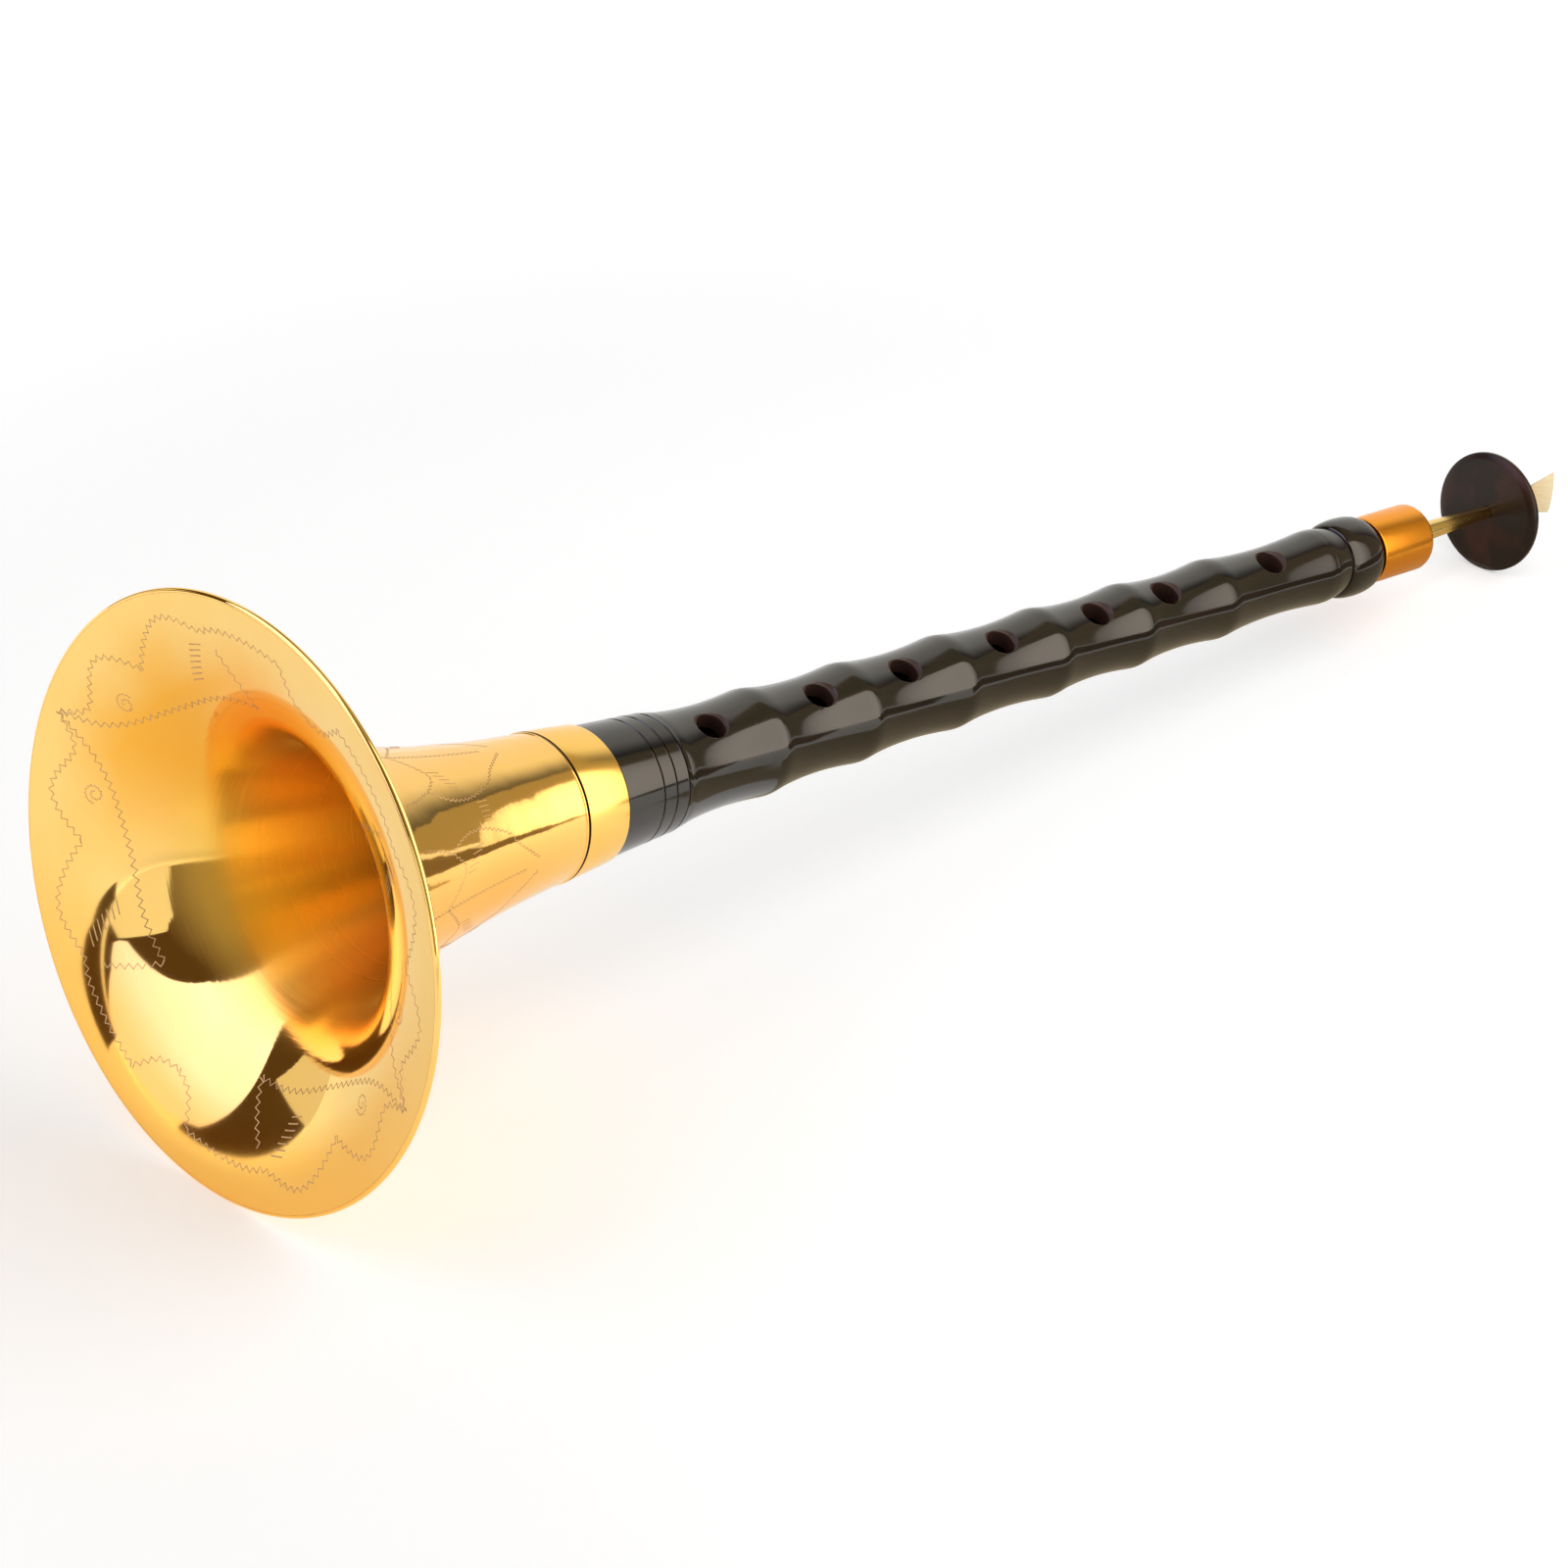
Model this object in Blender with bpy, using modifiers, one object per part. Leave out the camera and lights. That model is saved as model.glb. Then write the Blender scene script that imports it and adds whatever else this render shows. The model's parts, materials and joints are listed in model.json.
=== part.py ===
"""A suona: a conical wooden double-reed pipe with a flared brass bell.

Units are metres. Every piece is modelled on one local axis: local Z runs from the bell's mouth, at
0, to the tip of the reed, and local -X points up. The instrument lies on its side, on the edge of
the bell and the edge of the lip disc, with the bell towards -X and the reed towards +X.
"""

import math

import bmesh
import bpy

MM = 0.001

# Fit between pieces that touch on the real instrument
CLEARANCE = 0.3 * MM

# Bell: spun sheet brass with a folded hem round the mouth and a lip round the neck's end
BELL_RADIUS = 66.0 * MM
BELL_LENGTH = 85.5 * MM
BELL_WALL = 0.6 * MM
NECK_RADIUS = 16.75 * MM
CONE_SLOPE = 0.0835
CONE_CURVE = 1.665
FLARE_FALL = 7.5 * MM
HEM_WIDTH = 2.2 * MM
HEM_SLIT = 0.25 * MM
HEM_ROUND = 0.4 * MM
RIM_FLAT = 1.2 * MM
LIP_HEIGHT = 0.45 * MM
LIP_LENGTH = 1.2 * MM
BELL_STATIONS = 12
BELL_FACETS = 56

# Tenon at the lower end of the pipe, inside the bell's neck, with its thread lapping
TENON_LENGTH = 20.0 * MM
TENON_LAPPING = 1.0 * MM
TENON_MARGIN = 3.5 * MM
LAPPING_FACETS = 32
LAPPING_TAPER = 0.3 * MM

# Brass ferrules on the pipe
LOWER_FERRULE_LENGTH = 12.7 * MM
LOWER_FERRULE_STEP = 0.2 * MM
LOWER_FERRULE_TOP_RADIUS = 15.7 * MM
TOP_FERRULE_RADIUS = 8.5 * MM
TOP_FERRULE_LENGTH = 19.5 * MM
TOP_FERRULE_WALL = 0.8 * MM
TOP_FERRULE_END = 1.2 * MM
TOP_FERRULE_ROUND = 1.6 * MM
FERRULE_CHAMFER = 0.3 * MM
FERRULE_FACETS = 36

# Wooden pipe: a plain foot with ring grooves, seven hollowed lengths between ridges, a bead
PIPE_FACETS = 36
SHOULDER_RADIUS = 15.1 * MM
FOOT_LENGTH = 20.5 * MM
RIDGE_RADII = [13.6 * MM, 12.5 * MM, 11.8 * MM, 11.3 * MM, 10.9 * MM, 10.45 * MM, 10.05 * MM, 9.45 * MM]
SCALLOP_LENGTHS = [30.3 * MM, 29.7 * MM, 32.0 * MM, 32.4 * MM, 30.0 * MM, 31.0 * MM, 39.0 * MM]
SCALLOP_DEPTH = 1.25 * MM
SCALLOP_FALL_POWER = 2.4
SCALLOP_RISE_POWER = 1.8
SCALLOP_STATIONS = 6
GROOVE_PLACES = [11.2 * MM, 15.2 * MM, 19.2 * MM]
GROOVE_WIDTH = 0.9 * MM
GROOVE_DEPTH = 0.45 * MM
THROAT_LENGTH = 6.6 * MM
THROAT_RADIUS = 8.0 * MM
BEAD_LENGTH = 11.5 * MM
BEAD_RADIUS = 10.0 * MM
BEAD_STATIONS = 8
COLLAR_NECK_LENGTH = 1.3 * MM

# Bore and finger holes
BORE_FOOT_RADIUS = 9.4 * MM
FINGER_HOLE_RADIUS = 3.5 * MM
HOLE_BREAK = 0.6 * MM
FINGER_HOLE_SHARES = [0.41, 0.545, 0.44, 0.45, 0.51, 0.33, 0.47]
THUMB_HOLE_SHARE = 0.75
FINGER_HOLE_TURN = math.radians(206.0)
HOLE_FACETS = 20

# Staple: the tapered brass tube that carries the reed
STAPLE_FOOT_RADIUS = 2.7 * MM
STAPLE_FOOT_LENGTH = 26.0 * MM
STAPLE_TIP_RADIUS = 1.5 * MM
STAPLE_WALL = 0.45 * MM
STAPLE_CONE_LENGTH = 35.0 * MM
STAPLE_FACETS = 24
STAPLE_LAPPING = 0.5 * MM
STAPLE_LAP_MARGIN = 4.0 * MM

# Lip disc
DISC_RADIUS = 15.5 * MM
DISC_THICKNESS = 2.0 * MM
DISC_EDGE = 0.5 * MM
DISC_PLACE = 31.5 * MM
DISC_FACETS = 36

# Reed: a cane tube pressed flat at its tip and bound with copper wire
REED_PLACE = 2.9 * MM
REED_TUBE_LENGTH = 7.0 * MM
REED_THROAT_LENGTH = 3.0 * MM
REED_BLADE_LENGTH = 12.1 * MM
REED_TUBE_WALL = 0.5 * MM
REED_TIP_WIDTH = 11.2 * MM
REED_THROAT_WIDTH = 6.2 * MM
REED_TIP_THICKNESS = 1.5 * MM
REED_TIP_WALL = 0.3 * MM
REED_FACETS = 24
REED_SEAT = 7.8 * MM
BINDING_WIRE = 0.5 * MM
BINDING_PITCH = 1.0 * MM
BINDING_TURNS = 4
BINDING_MARGIN = 1.4 * MM

LOOP_POINTS = 24

# Places along the axis, from the bell's mouth
tenon_end = BELL_LENGTH - TENON_LENGTH
lower_ferrule_start = BELL_LENGTH + CLEARANCE
lower_ferrule_end = lower_ferrule_start + LOWER_FERRULE_LENGTH
shoulder = lower_ferrule_end + CLEARANCE
ridge_places = [shoulder + FOOT_LENGTH]
for scallop_length in SCALLOP_LENGTHS:
    ridge_places.append(ridge_places[-1] + scallop_length)
bead_start = ridge_places[-1] + THROAT_LENGTH
bead_end = bead_start + BEAD_LENGTH
top_ferrule_start = bead_end + COLLAR_NECK_LENGTH + CLEARANCE
top_ferrule_end = top_ferrule_start + TOP_FERRULE_LENGTH
pipe_end = top_ferrule_end - TOP_FERRULE_END - CLEARANCE
staple_start = top_ferrule_end - STAPLE_FOOT_LENGTH
socket_end = staple_start - CLEARANCE
staple_cone_end = top_ferrule_end + STAPLE_CONE_LENGTH
disc_start = top_ferrule_end + DISC_PLACE
disc_end = disc_start + DISC_THICKNESS
reed_start = disc_end + REED_PLACE
staple_end = max(reed_start + REED_SEAT, staple_cone_end + REED_SEAT / 2)
throat_start = reed_start + REED_TUBE_LENGTH
blade_start = throat_start + REED_THROAT_LENGTH
reed_end = blade_start + REED_BLADE_LENGTH

# Radii that follow from the fits
neck_bore = NECK_RADIUS - BELL_WALL
tenon_lap_bore = neck_bore - CLEARANCE - TENON_LAPPING
tenon_radius = tenon_lap_bore - CLEARANCE
pipe_top_radius = TOP_FERRULE_RADIUS - TOP_FERRULE_WALL - CLEARANCE
staple_lap_bore = STAPLE_FOOT_RADIUS + CLEARANCE
socket_radius = staple_lap_bore + STAPLE_LAPPING + CLEARANCE
bore_top_radius = STAPLE_FOOT_RADIUS - STAPLE_WALL
reed_bore = STAPLE_TIP_RADIUS + CLEARANCE
reed_tube_radius = reed_bore + REED_TUBE_WALL
binding_radius = reed_tube_radius + CLEARANCE + BINDING_WIRE / 2


def bell_radius(place):
    """Outer radius of the bell's sheet: a slightly curved cone plus a flare that dies away."""
    depth = BELL_LENGTH - place
    cone = NECK_RADIUS + CONE_SLOPE * depth + CONE_CURVE * depth**2
    mouth_depth = BELL_LENGTH - BELL_WALL
    mouth_cone = NECK_RADIUS + CONE_SLOPE * mouth_depth + CONE_CURVE * mouth_depth**2
    flare = (BELL_RADIUS - mouth_cone) * math.exp(-(place - BELL_WALL) / FLARE_FALL)
    return cone + flare


def bell_slope(place):
    step = 0.01 * MM
    return (bell_radius(place + step) - bell_radius(place - step)) / (2 * step)


def bell_place(radius):
    """Where the sheet has this outer radius, by halving the stretch it can lie in."""
    low, high = BELL_WALL, BELL_LENGTH
    for _ in range(40):
        middle = (low + high) / 2
        if bell_radius(middle) > radius:
            low = middle
        else:
            high = middle
    return (low + high) / 2


def staple_radius(place):
    """Outer radius of the staple: a straight foot, a cone, then a straight tip for the reed."""
    share = (place - top_ferrule_end) / STAPLE_CONE_LENGTH
    share = min(max(share, 0.0), 1.0)
    return STAPLE_FOOT_RADIUS + share * (STAPLE_TIP_RADIUS - STAPLE_FOOT_RADIUS)


def scallop_radius(index, share):
    """Outer radius of the pipe at a share of the way along one hollowed length."""
    ridge_line = RIDGE_RADII[index] + share * (RIDGE_RADII[index + 1] - RIDGE_RADII[index])
    power = SCALLOP_FALL_POWER if share < 0.5 else SCALLOP_RISE_POWER
    return ridge_line - SCALLOP_DEPTH * (1 - abs(1 - 2 * share) ** power)


def bore_radius(place):
    share = (place - tenon_end) / (socket_end - tenon_end)
    return BORE_FOOT_RADIUS + share * (bore_top_radius - BORE_FOOT_RADIUS)


def clear_scene():
    for obj in list(bpy.data.objects):
        bpy.data.objects.remove(obj)


def new_collection(name):
    collection = bpy.data.collections.new(name)
    bpy.context.scene.collection.children.link(collection)
    return collection


def make_material(name, colour, roughness, metallic):
    material = bpy.data.materials.new(name)
    material.use_nodes = True
    shader = material.node_tree.nodes["Principled BSDF"]
    shader.inputs["Base Color"].default_value = (*colour, 1.0)
    shader.inputs["Roughness"].default_value = roughness
    shader.inputs["Metallic"].default_value = metallic
    return material


def make_empty(name, parent, place):
    empty = bpy.data.objects.new(name, None)
    parts.objects.link(empty)
    empty.parent = parent
    empty.location.z = place
    return empty


def hang(obj, carrier):
    """Puts a piece that is modelled from the bell's mouth on its carrier, an empty on the axis."""
    obj.parent = carrier
    if carrier is not instrument:
        obj.location.z = -carrier.location.z


def turned(name, outline, facets, material, collection=None):
    """A turned piece: a closed outline of (radius, place) points, down its outer side first."""
    mesh = bpy.data.meshes.new(name)
    count = len(outline)
    points = [(radius, 0.0, place) for radius, place in outline]
    edges = [(i, (i + 1) % count) for i in range(count)]
    mesh.from_pydata(points, edges, [])
    obj = bpy.data.objects.new(name, mesh)
    (collection or parts).objects.link(obj)
    screw = obj.modifiers.new("Turn", "SCREW")
    screw.axis = "Z"
    screw.angle = 2 * math.pi
    screw.steps = facets
    screw.render_steps = facets
    screw.use_merge_vertices = True
    screw.merge_threshold = 0.00001
    screw.use_smooth_shade = True
    # Half a facet of turn puts a flat at the bottom of the lying instrument.
    obj.rotation_euler.z = math.pi / facets
    if material:
        mesh.materials.append(material)
    return obj


def wound(name, radius, wire, start, turns, pitch, material):
    """A wire or thread wound round the axis as one unbroken tube, its two ends straight."""
    steps = turns * LOOP_POINTS
    points = []
    for i in range(steps + 1):
        angle = 2 * math.pi * i / LOOP_POINTS
        climb = start + pitch * i / LOOP_POINTS
        points.append((radius * math.cos(angle), radius * math.sin(angle), climb))
    least = math.inf
    for i, first in enumerate(points):
        for second in points[i + LOOP_POINTS // 2 :]:
            least = min(least, math.dist(first, second))
    print(f"{name}: least gap between turns {(least - wire) / MM:.2f} mm")
    first, last = points[0], points[-1]
    points.insert(0, (first[0], first[1] - wire, first[2]))
    points.append((last[0], last[1] + wire, last[2]))
    curve = bpy.data.curves.new(name, "CURVE")
    curve.dimensions = "3D"
    curve.bevel_depth = wire / 2
    curve.bevel_resolution = 1
    curve.use_fill_caps = True
    spline = curve.splines.new("POLY")
    spline.points.add(len(points) - 1)
    for target, point in zip(spline.points, points):
        target.co = (*point, 1.0)
    curve.materials.append(material)
    obj = bpy.data.objects.new(name, curve)
    parts.objects.link(obj)
    return obj


def bell_outline():
    """The bell's sheet: outer side from neck to mouth, the folded hem, then the inner side back."""
    hem_edge = BELL_RADIUS - HEM_WIDTH
    hem_start = bell_place(hem_edge)
    lip_start = BELL_LENGTH - LIP_LENGTH
    stations = []
    for i in range(BELL_STATIONS + 1):
        share = 1 - (1 - i / BELL_STATIONS) ** 2.2
        stations.append(lip_start - LIP_LENGTH / 2 - share * (lip_start - LIP_LENGTH / 2 - hem_start))
    outer = [
        (NECK_RADIUS + LIP_HEIGHT, BELL_LENGTH),
        (NECK_RADIUS + LIP_HEIGHT, lip_start),
    ]
    outer += [(bell_radius(place), place) for place in stations]
    slit_end = BELL_RADIUS - BELL_WALL
    slit_place = bell_place(slit_end)
    hem = [
        (slit_end, slit_place),
        (slit_end, slit_place + HEM_SLIT),
        (hem_edge, hem_start + HEM_SLIT),
        (hem_edge, hem_start + HEM_SLIT + BELL_WALL),
        (BELL_RADIUS - HEM_ROUND, slit_place + HEM_SLIT + BELL_WALL),
        (BELL_RADIUS, slit_place + HEM_SLIT + BELL_WALL - HEM_ROUND),
        (BELL_RADIUS, HEM_ROUND),
        (BELL_RADIUS - HEM_ROUND, 0.0),
        (BELL_RADIUS - HEM_ROUND - RIM_FLAT, 0.0),
    ]
    inner = []
    for place in reversed(stations):
        slope = bell_slope(place)
        length = math.hypot(1, slope)
        inner.append((bell_radius(place) - BELL_WALL / length, max(place + BELL_WALL * slope / length, 0.0)))
    inner.append((NECK_RADIUS + LIP_HEIGHT - BELL_WALL, BELL_LENGTH))
    return outer + hem + inner


def pipe_outline():
    """The wooden pipe: outer side from the reed end to the tenon, then the bore back up."""
    outer = [
        (pipe_top_radius, pipe_end),
        (pipe_top_radius, top_ferrule_start - CLEARANCE),
        (THROAT_RADIUS, top_ferrule_start - CLEARANCE),
    ]
    for i in range(BEAD_STATIONS + 1):
        angle = math.pi * i / BEAD_STATIONS
        swell = math.sin(angle) ** 0.8
        radius = THROAT_RADIUS + (BEAD_RADIUS - THROAT_RADIUS) * swell
        outer.append((radius, (bead_start + bead_end) / 2 + BEAD_LENGTH / 2 * math.cos(angle)))
    throat_stations = 4
    for i in range(1, throat_stations):
        angle = math.pi / 2 * i / throat_stations
        radius = THROAT_RADIUS + (RIDGE_RADII[-1] - THROAT_RADIUS) * math.sin(angle)
        outer.append((radius, bead_start - THROAT_LENGTH * (1 - math.cos(angle))))
    for index in reversed(range(len(SCALLOP_LENGTHS))):
        for i in range(SCALLOP_STATIONS):
            share = 1 - i / SCALLOP_STATIONS
            place = ridge_places[index] + share * SCALLOP_LENGTHS[index]
            outer.append((scallop_radius(index, share), place))
    outer.append((RIDGE_RADII[0], ridge_places[0]))
    for groove in reversed(GROOVE_PLACES):
        for offset, depth in ((0.5, 0.0), (0.0, GROOVE_DEPTH), (-0.5, 0.0)):
            along = groove + offset * GROOVE_WIDTH
            radius = SHOULDER_RADIUS + (RIDGE_RADII[0] - SHOULDER_RADIUS) * along / FOOT_LENGTH
            outer.append((radius - depth, shoulder + along))
    outer += [
        (SHOULDER_RADIUS, shoulder),
        (tenon_radius, shoulder),
        (tenon_radius, tenon_end),
    ]
    bore = [
        (BORE_FOOT_RADIUS, tenon_end),
        (bore_top_radius, socket_end),
        (socket_radius, socket_end),
        (socket_radius, pipe_end),
    ]
    return outer + bore


def hole_cutter(name, index, share, turn):
    """A drill through one wall of the pipe, wider at the mouth where the hole's edge is broken."""
    place = ridge_places[index] + share * SCALLOP_LENGTHS[index]
    surface = scallop_radius(index, share)
    mouth = surface - FINGER_HOLE_RADIUS**2 / (2 * surface)
    wide = FINGER_HOLE_RADIUS + HOLE_BREAK
    reach = RIDGE_RADII[0]
    outline = [
        (wide + reach - mouth, reach + HOLE_BREAK),
        (FINGER_HOLE_RADIUS, mouth - HOLE_BREAK),
        (FINGER_HOLE_RADIUS, bore_radius(place) / 2),
    ]
    mesh = bpy.data.meshes.new(name)
    points = [(0.0, 0.0, outline[0][1])]
    points += [(radius, 0.0, height) for radius, height in outline]
    points.append((0.0, 0.0, outline[-1][1]))
    mesh.from_pydata(points, [(i, i + 1) for i in range(len(points) - 1)], [])
    cutter = bpy.data.objects.new(name, mesh)
    cutters.objects.link(cutter)
    screw = cutter.modifiers.new("Turn", "SCREW")
    screw.axis = "Z"
    screw.steps = HOLE_FACETS
    screw.render_steps = HOLE_FACETS
    screw.use_merge_vertices = True
    screw.merge_threshold = 0.00001
    cutter.hide_render = True
    cutter.display_type = "WIRE"
    cutter.parent = instrument
    cutter.location = (0.0, 0.0, place)
    cutter.rotation_euler = (0.0, math.pi / 2, turn)
    return cutter


def drill(obj, cutter):
    boolean = obj.modifiers.new(cutter.name, "BOOLEAN")
    boolean.operation = "DIFFERENCE"
    boolean.solver = "EXACT"
    boolean.object = cutter


def lower_ferrule_outline():
    bore = tenon_radius + CLEARANCE
    low = NECK_RADIUS + LOWER_FERRULE_STEP
    top = LOWER_FERRULE_TOP_RADIUS
    return [
        (top - FERRULE_CHAMFER, lower_ferrule_end),
        (top, lower_ferrule_end - FERRULE_CHAMFER),
        (low, lower_ferrule_start + FERRULE_CHAMFER),
        (low - FERRULE_CHAMFER, lower_ferrule_start),
        (bore, lower_ferrule_start),
        (bore, lower_ferrule_end),
    ]


def top_ferrule_outline():
    """A cap with a rounded end, a hole for the staple and a skirt over the top of the wood."""
    skirt_bore = TOP_FERRULE_RADIUS - TOP_FERRULE_WALL
    outline = []
    for i in range(5):
        angle = math.pi / 2 * i / 4
        radius = TOP_FERRULE_RADIUS - TOP_FERRULE_ROUND * (1 - math.sin(angle))
        outline.append((radius, top_ferrule_end - TOP_FERRULE_ROUND * (1 - math.cos(angle))))
    outline += [
        (TOP_FERRULE_RADIUS, top_ferrule_start + FERRULE_CHAMFER),
        (TOP_FERRULE_RADIUS - FERRULE_CHAMFER, top_ferrule_start),
        (skirt_bore, top_ferrule_start),
        (skirt_bore, top_ferrule_end - TOP_FERRULE_END),
        (socket_radius, top_ferrule_end - TOP_FERRULE_END),
        (socket_radius, top_ferrule_end),
    ]
    return outline


def staple_outline():
    outer = [
        (STAPLE_TIP_RADIUS, staple_end),
        (STAPLE_TIP_RADIUS, staple_cone_end),
        (STAPLE_FOOT_RADIUS, top_ferrule_end),
        (STAPLE_FOOT_RADIUS, staple_start),
    ]
    inner = [(radius - STAPLE_WALL, place) for radius, place in reversed(outer)]
    return outer + inner


def lapping_outline(bore, thickness, start, end):
    """A sleeve of thread wound flat, thinner at both of its ends."""
    radius = bore + thickness
    return [
        (radius - LAPPING_TAPER, end),
        (radius, end - thickness),
        (radius, start + thickness),
        (radius - LAPPING_TAPER, start),
        (bore, start),
        (bore, end),
    ]


def disc_outline():
    bore = staple_radius(disc_start) + CLEARANCE
    return [
        (bore, disc_end),
        (DISC_RADIUS - 2 * DISC_EDGE, disc_end),
        (DISC_RADIUS, disc_end - DISC_EDGE),
        (DISC_RADIUS, disc_start + DISC_EDGE),
        (DISC_RADIUS - 2 * DISC_EDGE, disc_start),
        (bore, disc_start),
    ]


def reed_sections():
    """(place, outer half width, outer half thickness, inner half width, inner half thickness)."""
    tip_bore_width = REED_TIP_WIDTH / 2 - REED_TIP_WALL
    tip_bore_thickness = REED_TIP_THICKNESS / 2 - REED_TIP_WALL
    tube = (reed_tube_radius, reed_tube_radius, reed_bore, reed_bore)
    tip = (REED_TIP_WIDTH / 2, REED_TIP_THICKNESS / 2, tip_bore_width, tip_bore_thickness)
    throat_flatness = 0.82 * reed_tube_radius
    throat = (
        REED_THROAT_WIDTH / 2,
        throat_flatness,
        REED_THROAT_WIDTH / 2 - REED_TUBE_WALL,
        throat_flatness - REED_TUBE_WALL,
    )
    sections = [(reed_start, *tube), (throat_start, *tube)]
    for i in range(1, 3):
        share = i / 2
        sections.append(
            (
                throat_start + share * REED_THROAT_LENGTH,
                *(a + share * (b - a) for a, b in zip(tube, throat)),
            )
        )
    for i in range(1, 5):
        share = i / 4
        thinning = 1 - (1 - share) ** 1.6
        shares = (share, thinning, share, thinning)
        sections.append(
            (
                blade_start + share * REED_BLADE_LENGTH,
                *(a + s * (b - a) for a, b, s in zip(throat, tip, shares)),
            )
        )
    return sections


def section_loop(shape, half_width, half_thickness, place):
    """A closed ring of edges: an ellipse across the axis."""
    ring = []
    for i in range(REED_FACETS):
        angle = 2 * math.pi * (i + 0.5) / REED_FACETS
        point = (half_width * math.cos(angle), half_thickness * math.sin(angle), place)
        ring.append(shape.verts.new(point))
    return [shape.edges.new((ring[i - 1], ring[i])) for i in range(REED_FACETS)]


def make_reed(material):
    """The cane: rings lofted up the outside, over the tip and down the bore."""
    shape = bmesh.new()
    sections = reed_sections()
    loops = [section_loop(shape, width, thick, place) for place, width, thick, _, _ in sections]
    for place, _, _, width, thick in reversed(sections):
        loops.append(section_loop(shape, width, thick, place))
    for i, loop in enumerate(loops):
        bmesh.ops.bridge_loops(shape, edges=loops[i - 1] + loop)
    bmesh.ops.recalc_face_normals(shape, faces=shape.faces)
    mesh = bpy.data.meshes.new("reed_cane")
    shape.to_mesh(mesh)
    shape.free()
    mesh.shade_smooth()
    mesh.set_sharp_from_angle(angle=math.radians(40))
    mesh.materials.append(material)
    obj = bpy.data.objects.new("reed_cane", mesh)
    parts.objects.link(obj)
    return obj


def lie_down():
    """Lays the instrument on the edges of the bell and the lip disc, centred over the origin."""
    hem_back = bell_place(BELL_RADIUS - BELL_WALL) + HEM_SLIT + BELL_WALL - HEM_ROUND
    bell_drop = BELL_RADIUS * math.cos(math.pi / BELL_FACETS)
    disc_drop = DISC_RADIUS * math.cos(math.pi / DISC_FACETS)
    disc_back = disc_end - DISC_EDGE
    tilt = math.atan2(bell_drop - disc_drop, disc_back - hem_back)
    height = (bell_drop + math.tan(tilt) * hem_back) * math.cos(tilt)
    front_drop = (BELL_RADIUS - HEM_ROUND) * math.cos(math.pi / BELL_FACETS)
    low_x = -front_drop * math.sin(tilt)
    high_x = reed_end * math.cos(tilt) + REED_TIP_WIDTH / 2 * math.sin(tilt)
    instrument.location = (-(low_x + high_x) / 2, 0.0, height)
    instrument.rotation_euler = (0.0, math.pi / 2 + tilt, 0.0)
    print(f"tilt {math.degrees(tilt):.3f} degrees, mouth centre at {tuple(instrument.location)}")


clear_scene()
parts = new_collection("suona")
cutters = new_collection("cutters")

polished_brass = make_material("polished_brass", (0.90, 0.62, 0.22), 0.12, 1.0)
satin_brass = make_material("satin_brass", (0.83, 0.45, 0.12), 0.32, 1.0)
staple_brass = make_material("staple_brass", (0.86, 0.66, 0.25), 0.2, 1.0)
ferrule_brass = make_material("ferrule_brass", (0.92, 0.62, 0.2), 0.15, 1.0)
blackwood = make_material("blackwood", (0.035, 0.02, 0.015), 0.22, 0.0)
disc_wood = make_material("disc_wood", (0.05, 0.025, 0.018), 0.3, 0.0)
cane = make_material("cane", (0.85, 0.66, 0.36), 0.55, 0.0)
copper_wire = make_material("copper_wire", (0.72, 0.33, 0.16), 0.35, 1.0)
waxed_thread = make_material("waxed_thread", (0.62, 0.12, 0.08), 0.7, 0.0)
silk_thread = make_material("silk_thread", (0.78, 0.7, 0.5), 0.7, 0.0)

instrument = bpy.data.objects.new("instrument_axis", None)
parts.objects.link(instrument)
lie_down()
bell_axis = make_empty("bell_axis", instrument, BELL_LENGTH)
staple_axis = make_empty("staple_axis", instrument, top_ferrule_end)
disc_axis = make_empty("disc_axis", staple_axis, disc_start - top_ferrule_end)
reed_axis = make_empty("reed_axis", staple_axis, reed_start - top_ferrule_end)

bell = turned("bell", bell_outline(), BELL_FACETS, polished_brass)
hang(bell, bell_axis)

pipe = turned("pipe_body", pipe_outline(), PIPE_FACETS, blackwood)
hang(pipe, instrument)
for number, hole_share in enumerate(FINGER_HOLE_SHARES):
    drill(pipe, hole_cutter(f"finger_hole_{number + 1}", number, hole_share, FINGER_HOLE_TURN))
thumb_turn = FINGER_HOLE_TURN + math.pi
thumb_scallop = len(SCALLOP_LENGTHS) - 2
drill(pipe, hole_cutter("thumb_hole", thumb_scallop, THUMB_HOLE_SHARE, thumb_turn))

lower_ferrule = turned("lower_ferrule", lower_ferrule_outline(), FERRULE_FACETS, ferrule_brass)
hang(lower_ferrule, instrument)
top_ferrule = turned("top_ferrule", top_ferrule_outline(), FERRULE_FACETS, satin_brass)
hang(top_ferrule, instrument)
tenon_lap = lapping_outline(
    tenon_lap_bore, TENON_LAPPING, tenon_end + TENON_MARGIN, BELL_LENGTH - CLEARANCE
)
tenon_lapping = turned("tenon_lapping", tenon_lap, LAPPING_FACETS, waxed_thread)
hang(tenon_lapping, instrument)

staple = turned("staple_tube", staple_outline(), STAPLE_FACETS, staple_brass)
hang(staple, staple_axis)
staple_lap = lapping_outline(
    staple_lap_bore, STAPLE_LAPPING, staple_start + STAPLE_LAP_MARGIN, top_ferrule_end - CLEARANCE
)
staple_lapping = turned("staple_lapping", staple_lap, STAPLE_FACETS, silk_thread)
hang(staple_lapping, staple_axis)

lip_disc = turned("lip_disc", disc_outline(), DISC_FACETS, disc_wood)
lip_disc.parent = disc_axis
lip_disc.location.z = -disc_start

reed = make_reed(cane)
reed.parent = reed_axis
reed.location.z = -reed_start
binding_start = reed_start + BINDING_MARGIN
reed_binding = wound(
    "reed_binding", binding_radius, BINDING_WIRE, binding_start, BINDING_TURNS, BINDING_PITCH, copper_wire
)
reed_binding.parent = reed_axis
reed_binding.location.z = -reed_start
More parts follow.
